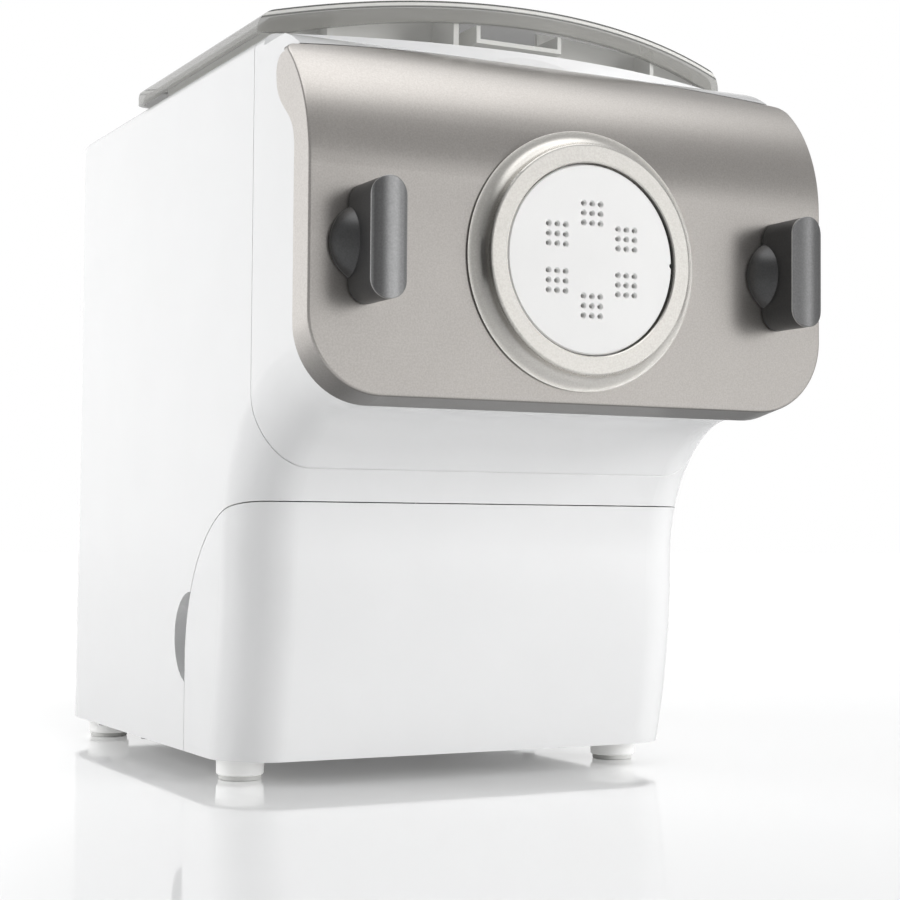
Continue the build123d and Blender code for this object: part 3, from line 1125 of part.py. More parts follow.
with BuildPart() as control_panel:
    bar((HALF_W, PANEL_OUT), PANEL_Y_RANGE, PANEL_Z_RANGE)
    fillet(control_panel.edges().filter_by(Axis.X), 8)
    plug_y = (PANEL_Y_RANGE[0] + PANEL_LAP + 0.2, PANEL_Y_RANGE[1] - PANEL_LAP - 0.2)
    plug_z = (PANEL_Z_RANGE[0] + PANEL_LAP + 0.2, PANEL_Z_RANGE[1] - PANEL_LAP - 0.2)
    bar((HALF_W - WALL, HALF_W), plug_y, plug_z)
    for y in BUTTONS:
        rod_x(BUTTON_R + CLEAR, (HALF_W - WALL - 1, PANEL_OUT + 1), y, BUTTON_Z, mode=Mode.SUBTRACT)
    bar((PANEL_OUT - WINDOW_T, PANEL_OUT + 1), WINDOW_Y, WINDOW_Z, mode=Mode.SUBTRACT)
    bar((HALF_W - WALL - 1, PANEL_OUT), (WINDOW_Y[0] + 3, WINDOW_Y[1] - 3), (WINDOW_Z[0] + 3, WINDOW_Z[1] - 3),
        mode=Mode.SUBTRACT)
    for post_y in ((plug_y[0], plug_y[0] + 4), (plug_y[1] - 4, plug_y[1])):
        bar((BOARD_X[1], HALF_W - WALL), post_y, (PANEL_Z + 2, PANEL_Z + 8))

with BuildPart() as display_window:
    bar((PANEL_OUT - WINDOW_T, PANEL_OUT), (WINDOW_Y[0] + 0.05, WINDOW_Y[1] - 0.05),
        (WINDOW_Z[0] + 0.05, WINDOW_Z[1] - 0.05))

with BuildPart() as control_board:
    bar(BOARD_X, (plug_y[0], plug_y[1]), plug_z)
    for y in BUTTONS:
        bar((BOARD_X[1], BUTTON_X[0] - BUTTON_TRAVEL - 0.3), (y - 3, y + 3), (BUTTON_Z - 3, BUTTON_Z + 3))
    bar((BOARD_X[1], HALF_W - WALL - 3), (WINDOW_Y[0] + 4, WINDOW_Y[1] - 4), (WINDOW_Z[0] + 3, WINDOW_Z[1] - 3))


def push_button(y):
    """Round button with a domed face and a collar that keeps it in the panel."""
    with BuildPart() as button:
        rod_x(BUTTON_R, BUTTON_X, y, BUTTON_Z)
        fillet(button.edges().filter_by(lambda e: abs((e @ 0.5).X - BUTTON_X[1]) < 0.01), 0.8)
    return button


power_button = push_button(BUTTONS[0])
program_button = push_button(BUTTONS[1])
start_button = push_button(BUTTONS[2])

POWER_Y = (GEARBOX_REAR + 12.0, BODY_REAR - WALL - 14.0)
POWER_Z = AXIS_Z + OUT_OUTER / 2
with BuildPart() as power_board:
    bar((-60, 60), POWER_Y, (POWER_Z, POWER_Z + 1.6))
    bar((-52, -24), (POWER_Y[0] + 8, POWER_Y[0] + 32), (POWER_Z + 1.6, POWER_Z + 26))
    bar((-12, 10), (POWER_Y[0] + 6, POWER_Y[0] + 26), (POWER_Z + 1.6, POWER_Z + 18))
    for x in (24.0, 42.0):
        with Locations((x, POWER_Y[0] + 18, POWER_Z + 1.6)):
            Cylinder(7, 22, align=STAND_ON)
    bar((-48, 48), (POWER_Y[1] - 14, POWER_Y[1] - 11), (POWER_Z + 1.6, POWER_Z + 20))

with BuildPart() as power_bracket:
    for x in (-54.0, 54.0):
        bar((x - 4, x + 4), (GEARBOX_REAR, POWER_Y[1]), (POWER_Z - 2, POWER_Z))
    bar((-58, 58), (GEARBOX_REAR, GEARBOX_REAR + 2), (POWER_Z - 24, POWER_Z))

INLET_MID = ((INLET_X[0] + INLET_X[1]) / 2, (INLET_Z[0] + INLET_Z[1]) / 2)
with BuildPart() as mains_inlet:
    bar(INLET_X, (BODY_REAR - 20, BODY_REAR + COVER_PROUD), INLET_Z)
    fillet(mains_inlet.edges().filter_by(Axis.Y), 2)
    socket_z = (INLET_Z[0] + 5, INLET_Z[1] - 5)
    bar((INLET_X[0] + 4, INLET_X[1] - 4), (BODY_REAR - 16, BODY_REAR + COVER_PROUD + 1), socket_z,
        mode=Mode.SUBTRACT)
    for x, z in ((-7, -2), (0, 3), (7, -2)):
        bar((INLET_MID[0] + x - 1, INLET_MID[0] + x + 1), (BODY_REAR - 17, BODY_REAR - 3),
            (INLET_MID[1] + z - 2, INLET_MID[1] + z + 2))
    flange_y = (BODY_REAR - WALL - 3, BODY_REAR - WALL)
    bar((INLET_X[0] - 3, INLET_X[1] + 3), flange_y, (INLET_Z[0] - 3, INLET_Z[1] + 3))

with BuildPart() as reed_switch:
    bar((MAGNET_X - 5, MAGNET_X + 5), (MAGNET_Y - 8, MAGNET_Y + 8), (CHAMBER_TOP - 8, CHAMBER_TOP))
    fillet(reed_switch.edges().filter_by(Axis.Y), 1.5)

# ------------------------------------------------------------------ mixing paddle and screw
PADDLE_Y = (CHAMBER_FRONT + 17.0, CHAMBER_BACK - 4.0)
SCREW_Y = (TUBE_FRONT + 3.0, PADDLE_Y[0] - 0.6)
SWEEP_R = CHAMBER_R - 3.5
with BuildPart() as mixing_paddle:
    rod_y(SHAFT_R + 4.5, PADDLE_Y)
    for y, turn in ((PADDLE_Y[0] + 6, 0), (PADDLE_Y[0] + 34, 90), (PADDLE_Y[0] + 62, 180), (PADDLE_Y[1] - 6, 270)):
        arm = Location((0, y, AXIS_Z), (0, turn, 0))
        with Locations(arm * Location((SWEEP_R / 2 + 4, 0, 0), (12, 0, 0))):
            Box(SWEEP_R - 16, 5, 9)
        with Locations(arm * Location((SWEEP_R - 6, 0, 0), (0, 0, 18))):
            Box(7, 9, 22)
    bar((-FAR, FAR), (PADDLE_Y[1], FAR), (0, FAR), mode=Mode.SUBTRACT)
    rod_y(SHAFT_R + RUNNING, (PADDLE_Y[0] - 1, PADDLE_Y[1] + 1), mode=Mode.SUBTRACT)

with BuildPart() as extruding_screw:
    rod_y(SCREW_CORE_R, SCREW_Y)
    flight_r = (SCREW_CORE_R - 0.6 + SCREW_R) / 2
    with BuildLine() as path:
        Helix(SCREW_PITCH, SCREW_PITCH * SCREW_TURNS, flight_r, center=(0, SCREW_Y[1] - 4, AXIS_Z),
              direction=(0, -1, 0))
    start = path.line @ 0
    radial = (start - Vector(0, start.Y, AXIS_Z)).normalized()
    with BuildSketch(Plane(origin=start, x_dir=radial, z_dir=path.line % 0)) as flight:
        Rectangle(SCREW_R - SCREW_CORE_R + 0.6, FLIGHT_T)
    sweep(flight.sketch, path=path.line, is_frenet=True)
    rod_y(SHAFT_NOSE_R + RUNNING, (SCREW_Y[1] - 17, SCREW_Y[1] + 1), mode=Mode.SUBTRACT)

# ------------------------------------------------------------------ write every piece
PIECES = {
    "main_housing": main_housing, "rear_cover": rear_cover, "cover_screws": cover_screws,
    "base_plate": base_plate, "base_screws": base_screws, "feet": feet, "foot_pads": foot_pads,
    "foot_screws": foot_screws,
    "front_bulkhead": front_bulkhead, "front_frame": front_frame, "front_fascia": front_fascia,
    "chamber_door": chamber_door, "head_screws": head_screws, "chamber_seal": chamber_seal,
    "mixing_chamber": mixing_chamber, "shaft_seal": shaft_seal, "extruding_tube": extruding_tube,
    "disc_seal": disc_seal, "shaping_disc": shaping_disc, "die_ring": die_ring,
    "left_knob": left_knob, "left_clamp_bolt": left_clamp_bolt, "right_knob": right_knob,
    "right_clamp_bolt": right_clamp_bolt, "lid_shell": lid_shell, "lid_liner": lid_liner,
    "water_chute": water_chute, "lid_magnet": lid_magnet, "lid_hinge_pins": lid_hinge_pins,
    "reed_switch": reed_switch, "mixing_paddle": mixing_paddle, "extruding_screw": extruding_screw,
    "drive_shaft": drive_shaft, "output_gear": output_gear, "idler_gear": idler_gear,
    "idler_shaft": idler_shaft, "motor_pinion": motor_pinion, "gearbox_housing": gearbox_housing,
    "gearbox_cover": gearbox_cover, "shaft_bearings": shaft_bearings, "motor_casing": motor_casing,
    "motor_bearings": motor_bearings, "motor_stator": motor_stator, "motor_rotor": motor_rotor,
    "motor_shaft": motor_shaft, "cooling_fan": cooling_fan, "drawer_front": drawer_front,
    "drawer_tray": drawer_tray, "spare_discs": spare_discs, "control_panel": control_panel,
    "display_window": display_window, "control_board": control_board, "power_button": power_button,
    "program_button": program_button, "start_button": start_button, "power_board": power_board,
    "power_bracket": power_bracket, "mains_inlet": mains_inlet,
}
for name, piece in PIECES.items():
    piece.part.label = name
    export_step(piece.part, f"parts/{name}.step")
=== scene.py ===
from math import pi, radians

import bpy
from mathutils import Matrix, Vector

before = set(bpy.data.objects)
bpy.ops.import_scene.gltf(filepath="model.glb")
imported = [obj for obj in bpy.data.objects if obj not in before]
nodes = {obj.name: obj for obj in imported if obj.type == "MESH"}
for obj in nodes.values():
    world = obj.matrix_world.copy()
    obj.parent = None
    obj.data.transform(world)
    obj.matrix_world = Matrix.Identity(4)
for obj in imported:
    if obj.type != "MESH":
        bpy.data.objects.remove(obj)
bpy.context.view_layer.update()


# ------------------------------------------------------------------ white casing
# The housing, the removable head, the drawer front and the rear cover are injection-moulded
# in glossy white ABS. The mould's polish leaves a faint waviness, and handling dulls it in
# very soft patches.
def new_material(name):
    """An empty material with its output and a Principled shader."""
    material = bpy.data.materials.new(name)
    material.use_nodes = True
    tree = material.node_tree
    tree.nodes.clear()
    output = tree.nodes.new("ShaderNodeOutputMaterial")
    shader = tree.nodes.new("ShaderNodeBsdfPrincipled")
    tree.links.new(shader.outputs["BSDF"], output.inputs["Surface"])
    return material, tree, shader


def object_noise(tree, size, detail=2.0, roughness=0.5):
    """Noise fixed to the piece, with features of about this size in metres."""
    place = tree.nodes.new("ShaderNodeTexCoord")
    noise = tree.nodes.new("ShaderNodeTexNoise")
    noise.inputs["Scale"].default_value = 1.0 / size
    noise.inputs["Detail"].default_value = detail
    noise.inputs["Roughness"].default_value = roughness
    tree.links.new(place.outputs["Object"], noise.inputs["Vector"])
    return noise.outputs["Fac"]


def ramp_of(tree, factor, stops, interpolation="LINEAR"):
    """Colour that runs through (position, colour) stops with a factor."""
    ramp = tree.nodes.new("ShaderNodeValToRGB")
    ramp.color_ramp.interpolation = interpolation
    elements = ramp.color_ramp.elements
    while len(elements) < len(stops):
        elements.new(0.5)
    for element, (position, colour) in zip(elements, stops):
        element.position = position
        element.color = (*colour, 1)
    tree.links.new(factor, ramp.inputs["Fac"])
    return ramp.outputs["Color"]


def mapped(tree, value, low, high, to_low=0.0, to_high=1.0):
    """A value mapped from one range to another, held at its ends."""
    span = tree.nodes.new("ShaderNodeMapRange")
    span.inputs["From Min"].default_value = low
    span.inputs["From Max"].default_value = high
    span.inputs["To Min"].default_value = to_low
    span.inputs["To Max"].default_value = to_high
    tree.links.new(value, span.inputs["Value"])
    return span.outputs["Result"]


def two_tone(tree, factor, low, high, socket):
    """Colour that wanders between two shades with a factor."""
    tree.links.new(ramp_of(tree, factor, [(0.3, low), (0.7, high)]), socket)


def spread(tree, factor, low, high, socket):
    """A number that wanders between two values with a factor."""
    tree.links.new(mapped(tree, factor, 0.25, 0.75, low, high), socket)


def relief(tree, shader, factor, height):
    """Surface relief of this height in metres."""
    bump = tree.nodes.new("ShaderNodeBump")
    bump.inputs["Strength"].default_value = 1.0
    bump.inputs["Distance"].default_value = height
    tree.links.new(factor, bump.inputs["Height"])
    tree.links.new(bump.outputs["Normal"], shader.inputs["Normal"])


def moulded_plastic(name, shade, roughness, grain, height, specular=0.5):
    """Moulded plastic: an even colour, grain of a stated size and soft patches in the gloss."""
    material, tree, shader = new_material(name)
    patches = object_noise(tree, 0.03)
    skin = object_noise(tree, grain, 3.0)
    two_tone(tree, patches, [c * 0.985 for c in shade], shade, shader.inputs["Base Color"])
    spread(tree, patches, roughness * 1.15, roughness * 0.9, shader.inputs["Roughness"])
    relief(tree, shader, skin, height)
    shader.inputs["Specular IOR Level"].default_value = specular
    return material


def shader_of(material):
    """The Principled shader of a material."""
    return next(node for node in material.node_tree.nodes if node.type == "BSDF_PRINCIPLED")


def dress(material, *names):
    """Put a material on every slot of these CAD nodes."""
    for name in names:
        for place in nodes[name].material_slots:
            place.material = material


white_abs = moulded_plastic("white_abs", (0.88, 0.88, 0.88), 0.16, 0.004, 0.000004)
dress(white_abs, "main_housing", "front_frame", "drawer_front", "rear_cover")


# ------------------------------------------------------------------ fascia
# A thin moulded skin sprayed with a champagne lacquer that holds fine aluminium flakes.
# It hooks over the head's front and rolls back over the brow.
flake_size = 0.0006
orange_peel = 0.0000015


def flake_lacquer(name, shade, bright, roughness, metallic):
    """Metallic lacquer: small flakes lighter and darker than the base under a satin surface."""
    material, tree, shader = new_material(name)
    flakes = object_noise(tree, flake_size, 1.0)
    two_tone(tree, flakes, shade, bright, shader.inputs["Base Color"])
    spread(tree, object_noise(tree, 0.02), roughness * 1.05, roughness * 0.95, shader.inputs["Roughness"])
    relief(tree, shader, object_noise(tree, 0.005), orange_peel)
    shader.inputs["Metallic"].default_value = metallic
    return material


def tone_by_facing(material, axis, low, high, tone):
    """Scale a lacquer's colour: by 1 where the normal on this axis is low, by tone where it is high."""
    tree, shader = material.node_tree, shader_of(material)
    coat = shader.inputs["Base Color"].links[0].from_socket
    facing = tree.nodes.new("ShaderNodeSeparateXYZ")
    tree.links.new(tree.nodes.new("ShaderNodeTexCoord").outputs["Normal"], facing.inputs["Vector"])
    scaled = tree.nodes.new("ShaderNodeVectorMath")
    scaled.operation = "SCALE"
    tree.links.new(coat, scaled.inputs[0])
    tree.links.new(mapped(tree, facing.outputs[axis], low, high, 1.0, tone), scaled.inputs["Scale"])
    tree.links.new(scaled.outputs["Vector"], shader.inputs["Base Color"])


champagne = flake_lacquer("champagne_lacquer", (0.475, 0.450, 0.425), (0.545, 0.520, 0.495), 0.30, 0.85)
# Shade that is set in the material, not by the lamps: a darker underside and paler side walls.
tone_by_facing(champagne, "Z", -0.35, -0.9, 0.28)
tone_by_facing(champagne, "X", -0.8, -1.0, 1.25)
tone_by_facing(champagne, "X", 0.8, 1.0, 1.25)
dress(champagne, "front_fascia")

# ------------------------------------------------------------------ die ring
# The screw ring is moulded in one piece and sprayed a lighter champagne, with more shine than
# the fascia. The left side of its hollow flank is darkened in the material, not by the lamps.
pale_champagne = flake_lacquer("pale_champagne", (0.66, 0.64, 0.60), (0.76, 0.74, 0.70), 0.24, 0.7)
tone_by_facing(pale_champagne, "X", -0.4, -0.95, 0.4)
dress(pale_champagne, "die_ring")

# ------------------------------------------------------------------ shaping discs
# White acetal discs, moulded with a satin face. One sits in the ring, three wait in the drawer.
acetal = moulded_plastic("white_acetal", (0.85, 0.845, 0.835), 0.42, 0.0006, 0.000004)
dress(acetal, "shaping_disc", "spare_discs")

# ------------------------------------------------------------------ clamp knobs
# Two upright grips in nylon with a dark metallic lacquer, which press onto steel clamp bolts.
# Painted light, set in the material: the face is painted lighter than the dark sides, its upright band of
# tone is a painted highlight, and the bright line on its edge is a painted highlight too.
face_edge = -0.1650      # where the grip's crowned face meets its sides
bevel = 0.0005
grip_x = 0.0836          # the knobs' axes
grip_half = 0.0064
# Painted light down the grip's depth: a lighter painted face, a painted highlight line at its edge, then
# dark sides.
painted_face_and_edge_stops = [(0.28, (0.30, 0.30, 0.302)), (0.38, (0.62, 0.62, 0.62)), (0.58, (0.55, 0.55, 0.55)),
               (0.72, (0.095, 0.095, 0.096))]


def greys(tones):
    """Neutral colours for (position, tone) pairs."""
    return [(position, (tone, tone, tone)) for position, tone in tones]


def dark_lacquer_with_painted_light(name, side, band):
    """Dark lacquer for one knob, with painted light; band gives the face's painted highlight from its left
    edge to its right one.
    """
    material, tree, shader = new_material(name)
    point = tree.nodes.new("ShaderNodeSeparateXYZ")
    tree.links.new(tree.nodes.new("ShaderNodeTexCoord").outputs["Object"], point.inputs["Vector"])
    depth = mapped(tree, point.outputs["Y"], face_edge - bevel, face_edge + 2 * bevel)
    across = mapped(tree, point.outputs["X"], side * grip_x - grip_half, side * grip_x + grip_half)
    on_face = mapped(tree, point.outputs["Y"], face_edge - bevel, face_edge - bevel / 4, 1.0, 0.0)
    banded = tree.nodes.new("ShaderNodeMix")
    banded.data_type = "RGBA"
    plain, toned = [socket for socket in banded.inputs if socket.type == "RGBA"]
    plain.default_value = (1, 1, 1, 1)
    tree.links.new(on_face, banded.inputs["Factor"])
    tree.links.new(ramp_of(tree, across, greys(band), "EASE"), toned)
    face = tree.nodes.new("ShaderNodeVectorMath")
    face.operation = "MULTIPLY"
    tree.links.new(ramp_of(tree, depth, painted_face_and_edge_stops, "EASE"), face.inputs[0])
    tree.links.new(next(socket for socket in banded.outputs if socket.type == "RGBA"), face.inputs[1])
    coat = tree.nodes.new("ShaderNodeVectorMath")
    coat.operation = "SCALE"
    fleck = mapped(tree, object_noise(tree, flake_size, 1.0), 0.3, 0.7, 0.92, 1.08)
    tree.links.new(face.outputs["Vector"], coat.inputs[0])
    tree.links.new(fleck, coat.inputs["Scale"])
    tree.links.new(coat.outputs["Vector"], shader.inputs["Base Color"])
    spread(tree, object_noise(tree, 0.02), 0.36, 0.32, shader.inputs["Roughness"])
    relief(tree, shader, object_noise(tree, 0.004), orange_peel)
    shader.inputs["Metallic"].default_value = 0.75
    return material


# Painted highlight and shade across each face, as a factor on its colour from left to right.
left_face_painted_light = [(0.0, 0.42), (0.22, 0.55), (0.48, 1.35), (0.64, 1.5), (0.82, 1.2), (1.0, 0.7)]
right_face_painted_light = [(0.0, 1.05), (0.3, 0.8), (0.52, 1.0), (0.75, 0.65), (1.0, 0.5)]
dress(dark_lacquer_with_painted_light("left_knob_lacquer_painted_light", -1, left_face_painted_light), "left_knob")
dress(dark_lacquer_with_painted_light("right_knob_lacquer_painted_light", 1, right_face_painted_light), "right_knob")


# ------------------------------------------------------------------ lid
# A shallow vault of smoke-grey polycarbonate, clear enough to see the dough. A pale grey liner
# and the water chute are welded inside its front.
smoke, tree, shader = new_material("smoked_polycarbonate")
smoke_shade, smoke_alpha = (0.355, 0.35, 0.325), 0.52
spread(tree, object_noise(tree, 0.02), 0.108, 0.09, shader.inputs["Roughness"])
# The thick edge of the vault is shown on the lid's front as painted light: a painted dark line, a painted
# highlight and again a painted dark line.
# Each line is given by where it starts and ends in the rim's depth, its colour and its alpha.
lid_crown, lid_arc_radius = 0.288, 0.55
rim_depth = 0.0032
painted_rim_lines = [(0.0, 0.16, (0.07, 0.07, 0.065), 0.85), (0.24, 0.50, (0.85, 0.84, 0.80), 0.7),
             (0.60, 0.72, (0.10, 0.10, 0.09), 0.8)]


def arch_depth(tree):
    """Depth below the vault's arch as a share of the rim's depth; past 1 except on the front."""
    place = tree.nodes.new("ShaderNodeTexCoord")
    point = tree.nodes.new("ShaderNodeSeparateXYZ")
    facing = tree.nodes.new("ShaderNodeSeparateXYZ")
    tree.links.new(place.outputs["Object"], point.inputs["Vector"])
    tree.links.new(place.outputs["Normal"], facing.inputs["Vector"])

    def worked(operation, first, second):
        step = tree.nodes.new("ShaderNodeMath")
        step.operation = operation
        for socket, value in zip(step.inputs, (first, second)):
            if isinstance(value, float):
                socket.default_value = value
            else:
                tree.links.new(value, socket)
        return step.outputs["Value"]

    sag = worked("DIVIDE", worked("MULTIPLY", point.outputs["X"], point.outputs["X"]), 2 * lid_arc_radius)
    below = worked("SUBTRACT", worked("SUBTRACT", lid_crown, sag), point.outputs["Z"])
    elsewhere = worked("GREATER_THAN", facing.outputs["Y"], -0.5)
    return worked("ADD", worked("DIVIDE", below, rim_depth), elsewhere)


tints, densities = [], []
for start, end, colour, alpha in painted_rim_lines + [(0.82, 0.82, smoke_shade, smoke_alpha)]:
    tints += [(start, colour), (end, colour)]
    densities += [(start, alpha), (end, alpha)]
rim = arch_depth(tree)
tree.links.new(ramp_of(tree, rim, tints), shader.inputs["Base Color"])
tree.links.new(ramp_of(tree, rim, greys(densities)), shader.inputs["Alpha"])
dress(smoke, "lid_shell")


def gleam(material, strength):
    """A little emission, which keeps a pale piece from going dark in shadow."""
    shader = shader_of(material)
    shader.inputs["Emission Color"].default_value = (1, 1, 0.98, 1)
    shader.inputs["Emission Strength"].default_value = strength


liner_grey = moulded_plastic("liner_grey", (0.62, 0.615, 0.59), 0.38, 0.0008, 0.000008)
# Painted light: a faint glow of its own keeps the liner pale inside the lid.
gleam(liner_grey, 0.07)
dress(liner_grey, "lid_liner", "water_chute")

# ------------------------------------------------------------------ feet and base
# Turned feet of white plastic on soft pads, screwed through the base tray.
foot_plastic = moulded_plastic("foot_plastic", (0.88, 0.88, 0.87), 0.36, 0.0008, 0.000008)
pad_rubber = moulded_plastic("pad_rubber", (0.76, 0.76, 0.74), 0.7, 0.0006, 0.00002, 0.3)
base_plastic = moulded_plastic("base_plastic", (0.70, 0.70, 0.69), 0.45, 0.001, 0.00002)
# Painted light: a glow of their own keeps the feet pale in the machine's shadow.
gleam(foot_plastic, 0.2)
dress(foot_plastic, "feet")
dress(pad_rubber, "foot_pads")
dress(base_plastic, "base_plate")

# ------------------------------------------------------------------ control panel
# A grey panel on the right-hand side with a dark display window and three push buttons.
panel_plastic = moulded_plastic("panel_plastic", (0.30, 0.30, 0.30), 0.32, 0.0006, 0.000010)
window_tint = moulded_plastic("window_tint", (0.018, 0.020, 0.024), 0.08, 0.01, 0.0000005)
button_plastic = moulded_plastic("button_plastic", (0.55, 0.55, 0.54), 0.33, 0.0005, 0.000006)
dress(panel_plastic, "control_panel")
dress(window_tint, "display_window")
dress(button_plastic, "power_button", "program_button", "start_button")

# ------------------------------------------------------------------ extruding line
# The door, tube, paddle and screw that touch dough are moulded in white food-grade plastic.
# The trough they close is drawn from stainless steel.
inner_white = moulded_plastic("inner_white", (0.82, 0.82, 0.80), 0.38, 0.0008, 0.000008)
dress(inner_white, "chamber_door", "extruding_tube", "front_bulkhead", "mixing_paddle", "extruding_screw",
      "drawer_tray")


def worked_metal(name, shade, roughness, stretch, height=0.000003):
    """Metal with fine marks: stretch gives the marks' size in metres on X, Y and Z."""
    material, tree, shader = new_material(name)
    place = tree.nodes.new("ShaderNodeTexCoord")
    lay = tree.nodes.new("ShaderNodeMapping")
    lay.inputs["Scale"].default_value = [1.0 / s for s in stretch]
    marks = tree.nodes.new("ShaderNodeTexNoise")
    marks.inputs["Scale"].default_value = 1.0
    marks.inputs["Detail"].default_value = 3.0
    tree.links.new(place.outputs["Object"], lay.inputs["Vector"])
    tree.links.new(lay.outputs["Vector"], marks.inputs["Vector"])
    two_tone(tree, marks.outputs["Fac"], [c * 0.86 for c in shade], shade, shader.inputs["Base Color"])
    spread(tree, marks.outputs["Fac"], roughness * 1.25, roughness * 0.8, shader.inputs["Roughness"])
    relief(tree, shader, marks.outputs["Fac"], height)
    shader.inputs["Metallic"].default_value = 1.0
    return material


drawn_steel = worked_metal("drawn_steel", (0.62, 0.62, 0.62), 0.36, (0.0004, 0.02, 0.0004))
turned_steel = worked_metal("turned_steel", (0.58, 0.58, 0.59), 0.21, (0.01, 0.0002, 0.01))
sintered_bronze = worked_metal("sintered_bronze", (0.60, 0.42, 0.21), 0.4, (0.0005, 0.0005, 0.0005))
dress(drawn_steel, "mixing_chamber")
dress(turned_steel, "drive_shaft", "idler_shaft", "motor_shaft", "lid_hinge_pins", "cover_screws",
      "base_screws", "foot_screws", "head_screws", "motor_bearings", "left_clamp_bolt", "right_clamp_bolt",
      "lid_magnet", "motor_pinion")
dress(sintered_bronze, "shaft_bearings")
seal_rubber = moulded_plastic("seal_rubber", (0.35, 0.35, 0.35), 0.65, 0.0005, 0.00002, 0.3)
dress(seal_rubber, "chamber_seal", "disc_seal", "shaft_seal")

# ------------------------------------------------------------------ gear train and motor
# Nylon gears run in a glass-filled case that bolts to the motor. The motor's can is
# zinc-plated steel around stacked laminations.
gear_nylon = moulded_plastic("gear_nylon", (0.78, 0.75, 0.66), 0.42, 0.0006, 0.000010)
case_nylon = moulded_plastic("case_nylon", (0.20, 0.20, 0.21), 0.5, 0.0004, 0.00003)
zinc_plate = worked_metal("zinc_plate", (0.50, 0.50, 0.49), 0.36, (0.006, 0.006, 0.006))
laminations = worked_metal("laminations", (0.30, 0.30, 0.31), 0.45, (0.02, 0.0005, 0.02), 0.00003)
black_plastic = moulded_plastic("black_plastic", (0.03, 0.03, 0.031), 0.42, 0.0005, 0.000015)
board_green = moulded_plastic("board_green", (0.03, 0.16, 0.07), 0.35, 0.002, 0.00001)
dress(gear_nylon, "output_gear", "idler_gear", "cooling_fan")
dress(case_nylon, "gearbox_housing", "gearbox_cover")
dress(zinc_plate, "motor_casing", "power_bracket")
dress(laminations, "motor_stator", "motor_rotor")
dress(board_green, "control_board", "power_board")
dress(black_plastic, "mains_inlet", "reed_switch")


# ------------------------------------------------------------------ floor and studio
# A broad white gloss floor. The camera sees it as white, with the machine's soft shadow and
# a faint mirror image.
floor_size = 12.0
floor_lift = 0.14        # extra white that only the camera sees
bpy.ops.mesh.primitive_plane_add(size=floor_size, location=(0, 0, 0))
floor = bpy.context.object
floor.name = "studio_floor"
material, tree, shader = new_material("studio_floor")
shader.inputs["Base Color"].default_value = (0.90, 0.90, 0.90, 1)
shader.inputs["Roughness"].default_value = 0.06
shader.inputs["Specular IOR Level"].default_value = 0.5
seen = tree.nodes.new("ShaderNodeLightPath")
lift = tree.nodes.new("ShaderNodeMath")
lift.operation = "MULTIPLY"
lift.inputs[1].default_value = floor_lift
shader.inputs["Emission Color"].default_value = (1, 1, 1, 1)
tree.links.new(seen.outputs["Is Camera Ray"], lift.inputs[0])
tree.links.new(lift.outputs["Value"], shader.inputs["Emission Strength"])
floor.data.materials.append(material)

# The room: white to the camera, a soft studio in reflections, and an even fill elsewhere.
world = bpy.data.worlds.new("studio")
bpy.context.scene.world = world
world.use_nodes = True
room = world.node_tree
room.nodes.clear()
out = room.nodes.new("ShaderNodeOutputWorld")
fill = room.nodes.new("ShaderNodeBackground")
fill.inputs["Color"].default_value = (0.97, 0.985, 1.0, 1)
fill.inputs["Strength"].default_value = 0.32
white = room.nodes.new("ShaderNodeBackground")
white.inputs["Color"].default_value = (1, 1, 1, 1)
white.inputs["Strength"].default_value = 1.0
direction = room.nodes.new("ShaderNodeTexCoord")


def glow(centre, edge, core, level):
    """Round soft light in reflections: its direction, the cosines of its edge and core, its strength."""
    facing = room.nodes.new("ShaderNodeVectorMath")
    facing.operation = "DOT_PRODUCT"
    facing.inputs[1].default_value = Vector(centre).normalized()
    room.links.new(direction.outputs["Generated"], facing.inputs[0])
    lobe = mapped(room, facing.outputs["Value"], edge, core, 0.0, level)
    lobe.node.interpolation_type = "SMOOTHSTEP"
    return lobe


def total(first, second):
    """The sum of two strengths."""
    both = room.nodes.new("ShaderNodeMath")
    both.operation = "ADD"
    room.links.new(first, both.inputs[0])
    room.links.new(second, both.inputs[1])
    return both.outputs["Value"]


height = room.nodes.new("ShaderNodeSeparateXYZ")
room.links.new(direction.outputs["Generated"], height.inputs["Vector"])
sky = ramp_of(room, height.outputs["Z"], greys([
    (0.0, 0.62), (0.10, 0.60), (0.20, 0.48), (0.34, 0.46), (0.62, 0.44),
    (0.72, 0.46), (0.79, 0.80), (0.87, 2.2), (0.94, 2.7), (1.0, 1.8)]))
front_glow = glow((0.49, -0.86, 0.06), 0.94, 0.995, 0.95)
floor_glow = glow((0.457, 0.889, 0.07), 0.86, 0.955, 0.70)
rear_glow = glow((-0.31, 0.95, 0.08), 0.80, 0.96, 0.9)
mirror = room.nodes.new("ShaderNodeBackground")
reflected = total(sky, total(front_glow, total(rear_glow, floor_glow)))
room.links.new(reflected, mirror.inputs["Strength"])
ray = room.nodes.new("ShaderNodeLightPath")
glossy = room.nodes.new("ShaderNodeMixShader")
room.links.new(ray.outputs["Is Glossy Ray"], glossy.inputs["Fac"])
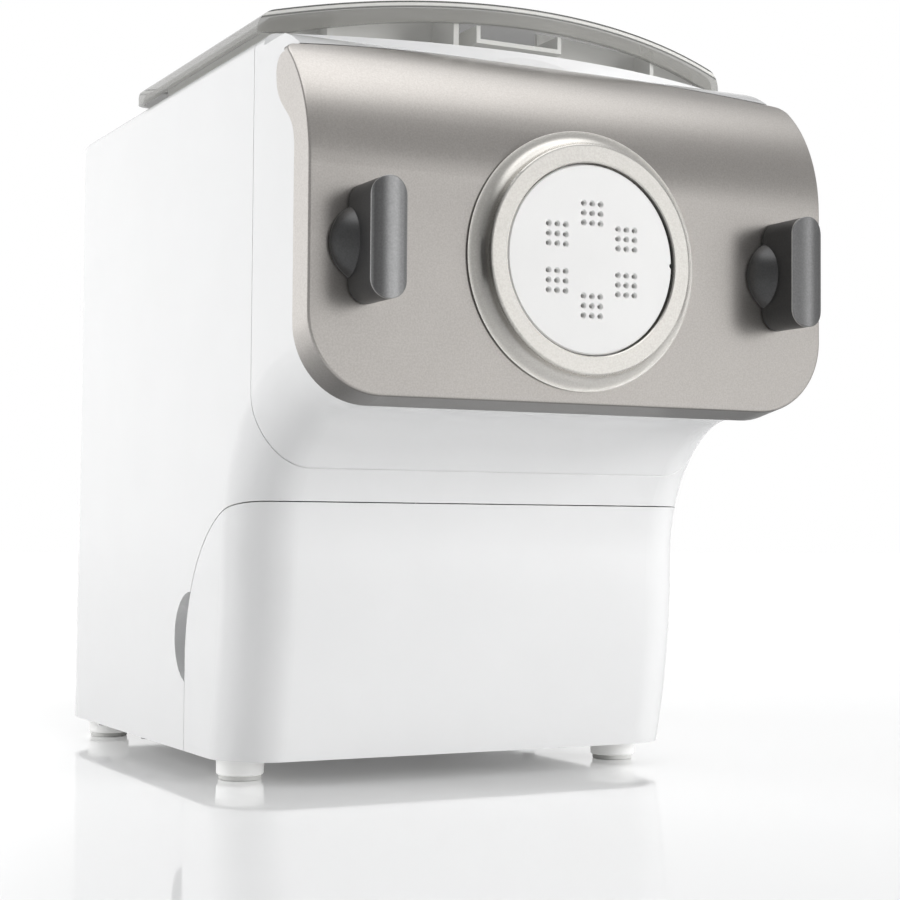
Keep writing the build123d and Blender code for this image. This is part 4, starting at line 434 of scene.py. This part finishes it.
room.links.new(fill.outputs["Background"], glossy.inputs[1])
room.links.new(mirror.outputs["Background"], glossy.inputs[2])
direct = room.nodes.new("ShaderNodeMath")
direct.operation = "MAXIMUM"
room.links.new(ray.outputs["Is Camera Ray"], direct.inputs[0])
room.links.new(ray.outputs["Is Transmission Ray"], direct.inputs[1])
straight = room.nodes.new("ShaderNodeMixShader")
room.links.new(direct.outputs["Value"], straight.inputs["Fac"])
room.links.new(glossy.outputs["Shader"], straight.inputs[1])
room.links.new(white.outputs["Background"], straight.inputs[2])
room.links.new(straight.outputs["Shader"], out.inputs["Surface"])


def softbox(name, place, target, size, watts):
    """A rectangular soft light that faces a point and is seen in no reflection and no view."""
    light = bpy.data.lights.new(name, "AREA")
    light.shape = "RECTANGLE"
    light.size, light.size_y = size
    light.energy = watts
    lamp = bpy.data.objects.new(name, light)
    lamp.location = place
    lamp.rotation_euler = (Vector(target) - Vector(place)).to_track_quat("-Z", "Y").to_euler()
    lamp.visible_glossy = False
    lamp.visible_camera = False
    bpy.context.scene.collection.objects.link(lamp)


softbox("left_softbox", (-1.25, 0.40, 0.45), (0, 0, 0.14), (0.7, 0.9), 9.8)
softbox("right_softbox", (1.20, -1.30, 0.40), (0, -0.05, 0.14), (0.8, 0.8), 21.0)
softbox("top_softbox", (0.3, -1.0, 1.5), (0, 0, 0.2), (1.0, 1.0), 4.0)

# ------------------------------------------------------------------ camera
camera_data = bpy.data.cameras.new("camera")
camera = bpy.data.objects.new("camera", camera_data)
bpy.context.scene.collection.objects.link(camera)
camera_data.sensor_width = 36.0
camera_data.lens = 76.34
stand = (-0.3451, -0.7179, 0.0950)
yaw, pitch, roll = radians(27.19), radians(2.38), radians(0.41)
camera.matrix_world = (Matrix.Translation(stand) @ Matrix.Rotation(-yaw, 4, "Z")
                       @ Matrix.Rotation(pi / 2 + pitch, 4, "X") @ Matrix.Rotation(roll, 4, "Z"))
bpy.context.scene.camera = camera
bpy.context.scene.view_settings.view_transform = "Standard"
